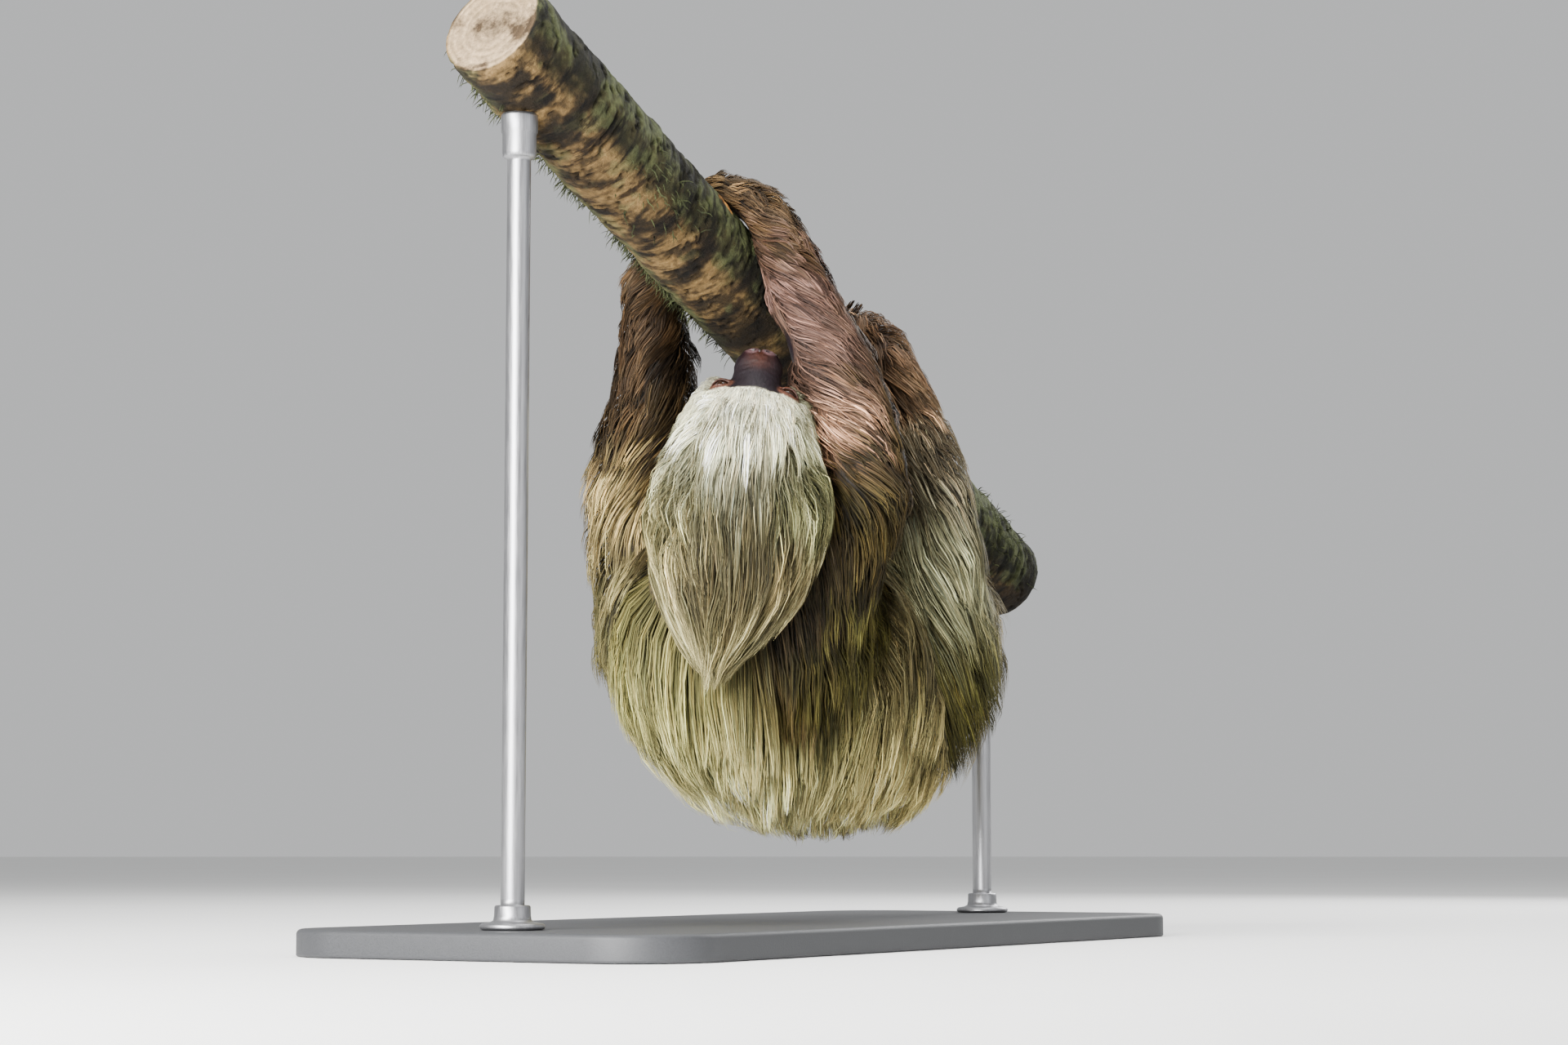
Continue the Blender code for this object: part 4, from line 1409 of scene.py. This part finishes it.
def tube(name, middles, outward, across, radii, depth_ratio, sides, colours):
    """A closed, bent and tapering form along a row of middles."""
    count = len(middles)
    turns = 2.0 * math.pi * np.arange(sides) / sides
    shape = (np.cos(turns)[None, :, None] * outward[:, None, :] * depth_ratio
             + np.sin(turns)[None, :, None] * across[:, None, :])
    groove = 1.0 - 0.16 * np.exp(-((turns - math.pi) / 0.35) ** 2)
    rings = middles[:, None, :] + shape * groove[None, :, None] * radii[:, None, None]
    vertices = np.concatenate([rings.reshape(-1, 3), middles[:1], middles[-1:]])
    faces = []
    for ring in range(count - 1):
        for side in range(sides):
            a, b = ring * sides + side, ring * sides + (side + 1) % sides
            faces += [(a, b, b + sides), (a, b + sides, a + sides)]
    root, tip = count * sides, count * sides + 1
    for side in range(sides):
        after = (side + 1) % sides
        faces += [(root, after, side), (tip, (count - 1) * sides + side, (count - 1) * sides + after)]
    mesh = mesh_from(name, vertices, np.array(faces))
    paint(mesh, np.concatenate([np.repeat(colours, sides, axis=0), colours[:1], colours[-1:]]))
    return mesh


CLAW_BROWN = vec(0.085, 0.060, 0.038)
CLAW_PALE = vec(0.27, 0.215, 0.14)
claw_finish = claw_material()
for grip, (wrist, knuckle) in GRIPS.items():
    limb, side = grip.split("_")
    turn = SIDES[side]
    for number in range(CLAW_COUNT[limb]):
        shift = digit_shift(limb, number)
        t = np.linspace(-0.12, 1.0, 34)
        shown = np.clip(t, 0.0, 1.0)
        radii = (CLAW_ROOT_RADIUS + (CLAW_TIP_RADIUS - CLAW_ROOT_RADIUS) * shown ** 1.3) * 0.97
        distance = PERCH_RADIUS + 0.0020 + radii
        sweep = np.degrees(CLAW_LENGTH[limb] / (PERCH_RADIUS + 0.004))
        angles = knuckle[1] + turn * sweep * t
        middles = np.array([round_the_perch(knuckle[0] + shift, a, d) for a, d in zip(angles, distance)])
        outward = np.array([round_the_perch(0.0, a, 1.0) - PERCH_POINT for a in angles])
        across = unit(np.cross(np.gradient(middles, axis=0), outward))
        colours = mix(CLAW_BROWN, CLAW_PALE, smoothstep(0.1, 0.95, shown)[:, None])
        name = f"{'fore' if limb == 'hand' else 'hind'}_claw_{side}_{number + 1}"
        mesh = tube("horn_" + name, middles, outward, across, radii, 1.1, 18, colours)
        place_piece("horn_" + name, mesh, claw_finish, "claw_horn", [name])


# The trunk

BARK_TAN = vec(0.028, 0.0175, 0.0065)
BARK_PALE = vec(0.190, 0.118, 0.044)
BARK_DARK = vec(0.006, 0.004, 0.002)
# Dark mossy green, partly painted shade on the trunk's upper right side.
BARK_MOSS_AND_SHADE = vec(0.020, 0.025, 0.008)
BARK_LICHEN = vec(0.095, 0.112, 0.044)
BARK_ORANGE = vec(0.62, 0.27, 0.05)
WOOD = vec(0.50, 0.36, 0.21)
ORANGE_SPOT = round_the_perch(0.073, 40.0, PERCH_RADIUS)
# The trunk's upper right side, where mossy green and painted shade lie.
MOSS_AND_SHADE_WAY = unit(vec(0.75, -0.10, 0.66))
FRINGED_WAY = unit(vec(-0.80, -0.30, -0.52))


def bark_relief(along, turn):
    """Height of the bark in metres, how deep in a crack each place is, and its large and fine mottling."""
    round_way = np.stack([np.cos(turn), np.sin(turn)], axis=-1) * PERCH_RADIUS
    place = np.stack([round_way[..., 0], round_way[..., 1], along], axis=-1)
    warped = place + 0.005 * np.stack([noise(place + 5.0 * axis, 0.025) for axis in range(3)], axis=-1)
    bands = layered_noise(warped * (0.24, 0.24, 1.0), 0.0066, 2)
    broken = smoothstep(-0.45, 0.10, noise(warped * (0.5, 0.5, 1.0) + 4.0, 0.011))
    crack = smoothstep(0.19, 0.0, np.abs(bands)) * broken
    mottle = layered_noise(warped * (0.6, 0.6, 1.0), 0.019, 3)
    grain = layered_noise(warped * (0.7, 0.7, 1.2), 0.0036, 2)
    rolls = layered_noise(warped * (0.30, 0.30, 1.0) + 2.0, 0.016, 2)
    height = -0.0022 * crack + 0.0004 * grain + 0.0011 * rolls + 0.0006 * noise(place, 0.060) - 0.0006
    return np.minimum(height, 0.0011), crack, mottle, grain, place


def bark_tone(along, outward, side, crack, mottle, grain, place):
    """The bark's colour: tan flakes, mossy green with painted shade on the upper right side, lichen at the
    edges, dark cracks.
    """
    weathered = smoothstep(0.085, -0.010, along)
    pale = smoothstep(-0.7, 0.7, mottle + 0.7 * grain - 0.9 * weathered)[..., None]
    colour = mix(BARK_TAN, BARK_PALE, pale)
    over_side = outward @ MOSS_AND_SHADE_WAY
    moss_and_shade = smoothstep(0.05, 0.60, over_side + 0.35 * mottle)[..., None]
    speckle = smoothstep(0.05, 0.65, grain + 0.3 * mottle)[..., None]
    colour = mix(colour, mix(BARK_MOSS_AND_SHADE, BARK_LICHEN, 0.55 * speckle), 0.85 * moss_and_shade)
    # Painted shade in a band beside the mossy upper right side.
    painted_side_shade = np.exp(-((over_side - 0.34) / 0.24) ** 2)[..., None]
    colour = colour * (1.0 - 0.68 * painted_side_shade)
    fringe = smoothstep(0.80, 0.97, outward @ FRINGED_WAY + 0.10 * noise(place, 0.012))
    spots = smoothstep(0.35, 0.60, layered_noise(place + 3.0, 0.016))
    upper = smoothstep(0.60, 0.86, over_side + 0.22 * grain) * smoothstep(-0.5, 0.2, mottle)
    lichen = np.maximum(np.maximum(fringe * 0.75, upper * 0.80), spots * 0.35)[..., None]
    colour = mix(colour, BARK_LICHEN, lichen)
    orange = np.exp(-np.sum((side - ORANGE_SPOT) ** 2, axis=-1) / 0.010 ** 2)
    orange = smoothstep(0.45, 0.6, orange + 0.25 * noise(place, 0.004))[..., None]
    colour = mix(colour, BARK_ORANGE, orange)
    dark = 0.88 * crack + 0.72 * smoothstep(0.0, 0.55, -mottle) * (1.0 - crack)
    return mix(colour, BARK_DARK, dark[..., None])


def trunk_mesh(around=216, length_steps=400, end_rings=14):
    """The cut length of trunk, its bark creased and scaly, its ends sawn."""
    low, high = PERCH_ENDS
    along, turn = np.meshgrid(np.linspace(low, high, length_steps),
                              2.0 * math.pi * np.arange(around) / around, indexing="ij")
    height, *growth = bark_relief(along, turn)
    radius = PERCH_RADIUS + height
    ends = np.minimum(along - low, high - along)
    radius = radius - 0.0016 * smoothstep(0.003, 0.0, ends)
    outward = np.cos(turn)[..., None] * RIGHT + np.sin(turn)[..., None] * OVER
    side = PERCH_POINT + along[..., None] * ALONG + outward * radius[..., None]
    colour = bark_tone(along, outward, side, *growth)
    index = np.arange(length_steps * around).reshape(length_steps, around)
    vertices, colours, faces = [side.reshape(-1, 3)], [colour.reshape(-1, 3)], [ring_quads(index)]
    start = length_steps * around
    for row, way in ((0, -1.0), (length_steps - 1, 1.0)):
        rim, previous = side[row], index[row]
        middle = PERCH_POINT + ALONG * along[row, 0]
        for ring in range(1, end_rings + 1):
            share = (1.0 - ring / (end_rings + 0.6)) ** 0.9
            dent = -0.0004 * math.sin(ring * 2.4) * way
            points = middle + (rim - middle) * share + ALONG * dent
            grain = 0.80 + 0.20 * math.sin(ring * 2.4) + 0.12 * noise(points, 0.008)[:, None]
            vertices.append(points)
            colours.append(np.clip(WOOD * grain * (0.55 + 0.45 * share), 0.0, 1.0))
            current = start + np.arange(around)
            start += around
            quads = np.stack([previous, current, np.roll(current, -1), np.roll(previous, -1)], axis=-1)
            faces.append(quads if way < 0.0 else quads[:, ::-1])
            previous = current
        vertices.append(middle[None])
        colours.append(WOOD[None] * 0.4)
        hub = np.full(around // 2, start)
        start += 1
        after, second = np.roll(previous, -1), np.roll(previous, -2)
        fan = np.stack([previous[0::2], hub, second[0::2], after[0::2]], axis=-1)
        faces.append(fan if way < 0.0 else fan[:, ::-1])
    mesh = mesh_from("trunk", np.concatenate(vertices), np.concatenate(faces))
    paint(mesh, np.concatenate(colours))
    return mesh


bark_finish = bark_material()
place_piece("trunk", trunk_mesh(), bark_finish, "bark", ["perch"])


LICHEN_WIDTH = 0.0011
# Place along the trunk, angle round it, spread in degrees, number of wisps
LICHEN_CLUMPS = (
    (0.19, 205.0, 14.0, 160), (0.09, 208.0, 12.0, 130), (0.035, 212.0, 10.0, 110), (-0.03, 200.0, 14.0, 120),
    (0.27, 210.0, 20.0, 150), (-0.32, 230.0, 30.0, 120), (-0.42, 20.0, 30.0, 90), (0.15, 330.0, 20.0, 70),
)


def lichen_mesh():
    """Wisps of lichen that hang from the trunk's lower edge and stand on its bark."""
    rng = np.random.default_rng(SEED + 500)
    spots = []
    for along, angle, spread, count in LICHEN_CLUMPS:
        spots += [(along + rng.normal(0.0, 0.022), angle + rng.normal(0.0, spread)) for _ in range(count)]
    roots = np.array([round_the_perch(a, turn, PERCH_RADIUS - 0.0010) for a, turn in spots])
    away = roots - PERCH_POINT
    normals = unit(away - dot(away, ALONG) * ALONG)
    lengths = rng.uniform(0.004, 0.013, (len(roots), 1))
    path, heading = [roots], unit(normals + rng.normal(0.0, 0.35, roots.shape))
    for _ in range(3):
        heading = unit(heading + DOWN * 0.35 + rng.normal(0.0, 0.35, roots.shape))
        path.append(path[-1] + heading * lengths / 3.0)
    paths = np.stack(path, axis=1)
    gain = rng.uniform(0.6, 1.2, (len(roots), 1, 1))
    colours = np.tile(BARK_LICHEN, (len(roots), 4, 1)) * gain * np.linspace(0.6, 1.1, 4)[None, :, None]
    turn = np.array([spot[1] for spot in spots])
    place = (away @ ALONG - PERCH_ENDS[0]) / (PERCH_ENDS[1] - PERCH_ENDS[0])
    patch = np.stack([turn % 360.0 / 360.0, place], axis=-1)
    widths = np.full(len(roots), LICHEN_WIDTH)
    return build_tufts("lichen", paths, normals, widths, colours, np.clip(patch, 0.0, 1.0))


place_piece("lichen", lichen_mesh(), bark_finish, "bark", ["perch"])


# The stand

BASE_LENGTH, BASE_WIDTH, BASE_CORNER = 0.820, 0.320, 0.060
# Inset from the rim, height, and share of the way out from the middle, from the underside to the top
PLATE_OUTLINE = (
    (0.058, 0.0, 0.002), (0.058, 0.0, 1.0), (0.0030, 0.0, 1.0), (0.0006, 0.0, 1.0), (0.0, 0.0006, 1.0),
    (0.0, 0.0020, 1.0), (0.0, 0.0148, 1.0), (0.0003, 0.0159, 1.0), (0.0010, 0.0169, 1.0),
    (0.0019, 0.0176, 1.0), (0.0030, 0.0180, 1.0), (0.0060, 0.0180, 1.0), (0.058, 0.0180, 1.0),
    (0.058, 0.0180, 0.002),
)


def turned_mesh(name, middle, profile, around=48):
    """A closed turned part about an upright axis, from its outline of (radius, height)."""
    turns = 2.0 * math.pi * np.arange(around) / around
    radii, heights = np.array(profile).T
    rings = np.stack([middle[0] + np.outer(radii, np.cos(turns)), middle[1] + np.outer(radii, np.sin(turns)),
                      np.repeat(heights[:, None], around, axis=1)], axis=-1)
    return ringed_mesh(name, rings)


def ringed_mesh(name, rings):
    """A surface through a stack of rings."""
    index = np.arange(rings.shape[0] * rings.shape[1]).reshape(rings.shape[:2])
    return mesh_from(name, rings.reshape(-1, 3), ring_quads(index))


def plate_mesh():
    """The base, a flat plate with rounded corners and a softened rim."""
    turns = np.linspace(0.0, 0.5 * math.pi, 25)
    rings = []
    for inset, height, share in PLATE_OUTLINE:
        ring = []
        for corner, (a, b) in enumerate(((1.0, 1.0), (-1.0, 1.0), (-1.0, -1.0), (1.0, -1.0))):
            angles = turns + 0.5 * math.pi * corner
            length = a * (0.5 * BASE_LENGTH - BASE_CORNER) + (BASE_CORNER - inset) * np.cos(angles)
            width = b * (0.5 * BASE_WIDTH - BASE_CORNER) + (BASE_CORNER - inset) * np.sin(angles)
            ring.append(share * (length[:, None] * LEVEL + width[:, None] * RIGHT) + height * UP)
        rings.append(np.concatenate(ring))
    return ringed_mesh("base_plate", np.stack(rings))


def rod_outline(radius, bottom, top):
    """A rod with a turned foot on the base and a ferrule under the trunk."""
    foot = [(0.0006, 0.0), (0.0200, 0.0), (0.0212, 0.0006), (0.0218, 0.0018), (0.0214, 0.0032),
            (0.0200, 0.0042), (0.0150, 0.0050), (0.0128, 0.0062), (0.0122, 0.0090), (0.0120, 0.0150),
            (0.0112, 0.0160)]
    ferrule = [(0.0104, 0.0300), (0.0112, 0.0290), (0.0116, 0.0270), (0.0116, 0.0140), (0.0124, 0.0120),
               (0.0126, 0.0020), (0.0120, 0.0), (0.0006, 0.0)]
    outline = [(r, bottom + h) for r, h in foot] + [(radius, bottom + 0.0162)]
    outline += [(radius, z) for z in np.linspace(bottom + 0.020, top - 0.0325, 12)]
    return outline + [(radius, top - 0.0308)] + [(r, top - h) for r, h in ferrule]


plate_finish, steel_finish = plate_material(), steel_material()
place_piece("base_plate", plate_mesh(), plate_finish, "stand_plate", ["stand_base"])
for node in ("stand_rod_high", "stand_rod_low"):
    low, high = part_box(node)
    outline = rod_outline(0.5 * (high[0] - low[0]), low[2], high[2] - 0.0015)
    place_piece("turned_" + node, turned_mesh("turned_" + node, box_middle(node), outline), steel_finish,
                "stand_steel", [node])


# Floor, light and camera

def floor_piece():
    """A wide pale floor."""
    bpy.ops.mesh.primitive_circle_add(vertices=96, radius=40.0, fill_type="NGON",
                                      location=(0.0, 0.0, -0.0005))
    floor = bpy.context.object
    floor.name = "floor"
    material, tree, shader = new_material("floor")
    tone = ramp(tree, add_noise(tree, 1.5, 3.0), ((0.3, (0.78, 0.78, 0.77)), (0.7, (0.81, 0.81, 0.80))))
    shade(shader, Base_Color=tone, Roughness=0.8, Specular_IOR_Level=0.2)
    floor.data.materials.append(material)
    floor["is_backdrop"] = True


def area_light(name, place, target, size, power, tone=(1.0, 1.0, 1.0), spread=180.0):
    """A soft light that looks at a target."""
    data = bpy.data.lights.new(name, "AREA")
    data.shape, data.size, data.energy, data.color = "DISK", size, power, tone
    data.spread = math.radians(spread)
    light = bpy.data.objects.new(name, data)
    light.location = place
    light.rotation_euler = (Vector(target) - Vector(place)).to_track_quat("-Z", "Y").to_euler()
    bpy.context.scene.collection.objects.link(light)


floor_piece()
CENTRE = (0.0, 0.0, 0.32)
area_light("key", (-1.5, -1.8, 1.7), CENTRE, 1.0, 150.0, (1.0, 0.985, 0.96))
area_light("fill", (1.9, -1.5, 0.9), CENTRE, 1.6, 14.0, (0.97, 0.98, 1.0))
area_light("top", (0.2, 0.3, 2.4), CENTRE, 1.6, 62.0)
area_light("rim", (1.3, 1.9, 1.3), CENTRE, 1.2, 48.0)
area_light("low", (-0.8, -1.8, 0.52), (0.0, 0.0, 0.12), 1.0, 37.0, spread=95.0)

world = bpy.data.worlds.new("studio")
bpy.context.scene.world = world
world.use_nodes = True
background = world.node_tree.nodes["Background"]
background.inputs["Color"].default_value = (0.86, 0.87, 0.88, 1.0)
background.inputs["Strength"].default_value = 0.70

CAMERA_PLACE = (0.006, -2.3784, 0.0696)
CAMERA_PITCH_DEG = 96.0
SENSOR_WIDTH = 36.0
VIEW_DISTANCE, VIEW_WIDTH = 2.3, 1.152
camera_data = bpy.data.cameras.new("camera")
camera_data.sensor_width = SENSOR_WIDTH
camera_data.lens = SENSOR_WIDTH * VIEW_DISTANCE / VIEW_WIDTH
camera = bpy.data.objects.new("camera", camera_data)
camera.location = CAMERA_PLACE
camera.rotation_euler = (math.radians(CAMERA_PITCH_DEG), 0.0, 0.0)
bpy.context.scene.collection.objects.link(camera)
bpy.context.scene.camera = camera

sizes = {name: [list(corner) for corner in box] for name, box in (("cad", CAD_BOX), ("visual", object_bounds()))}
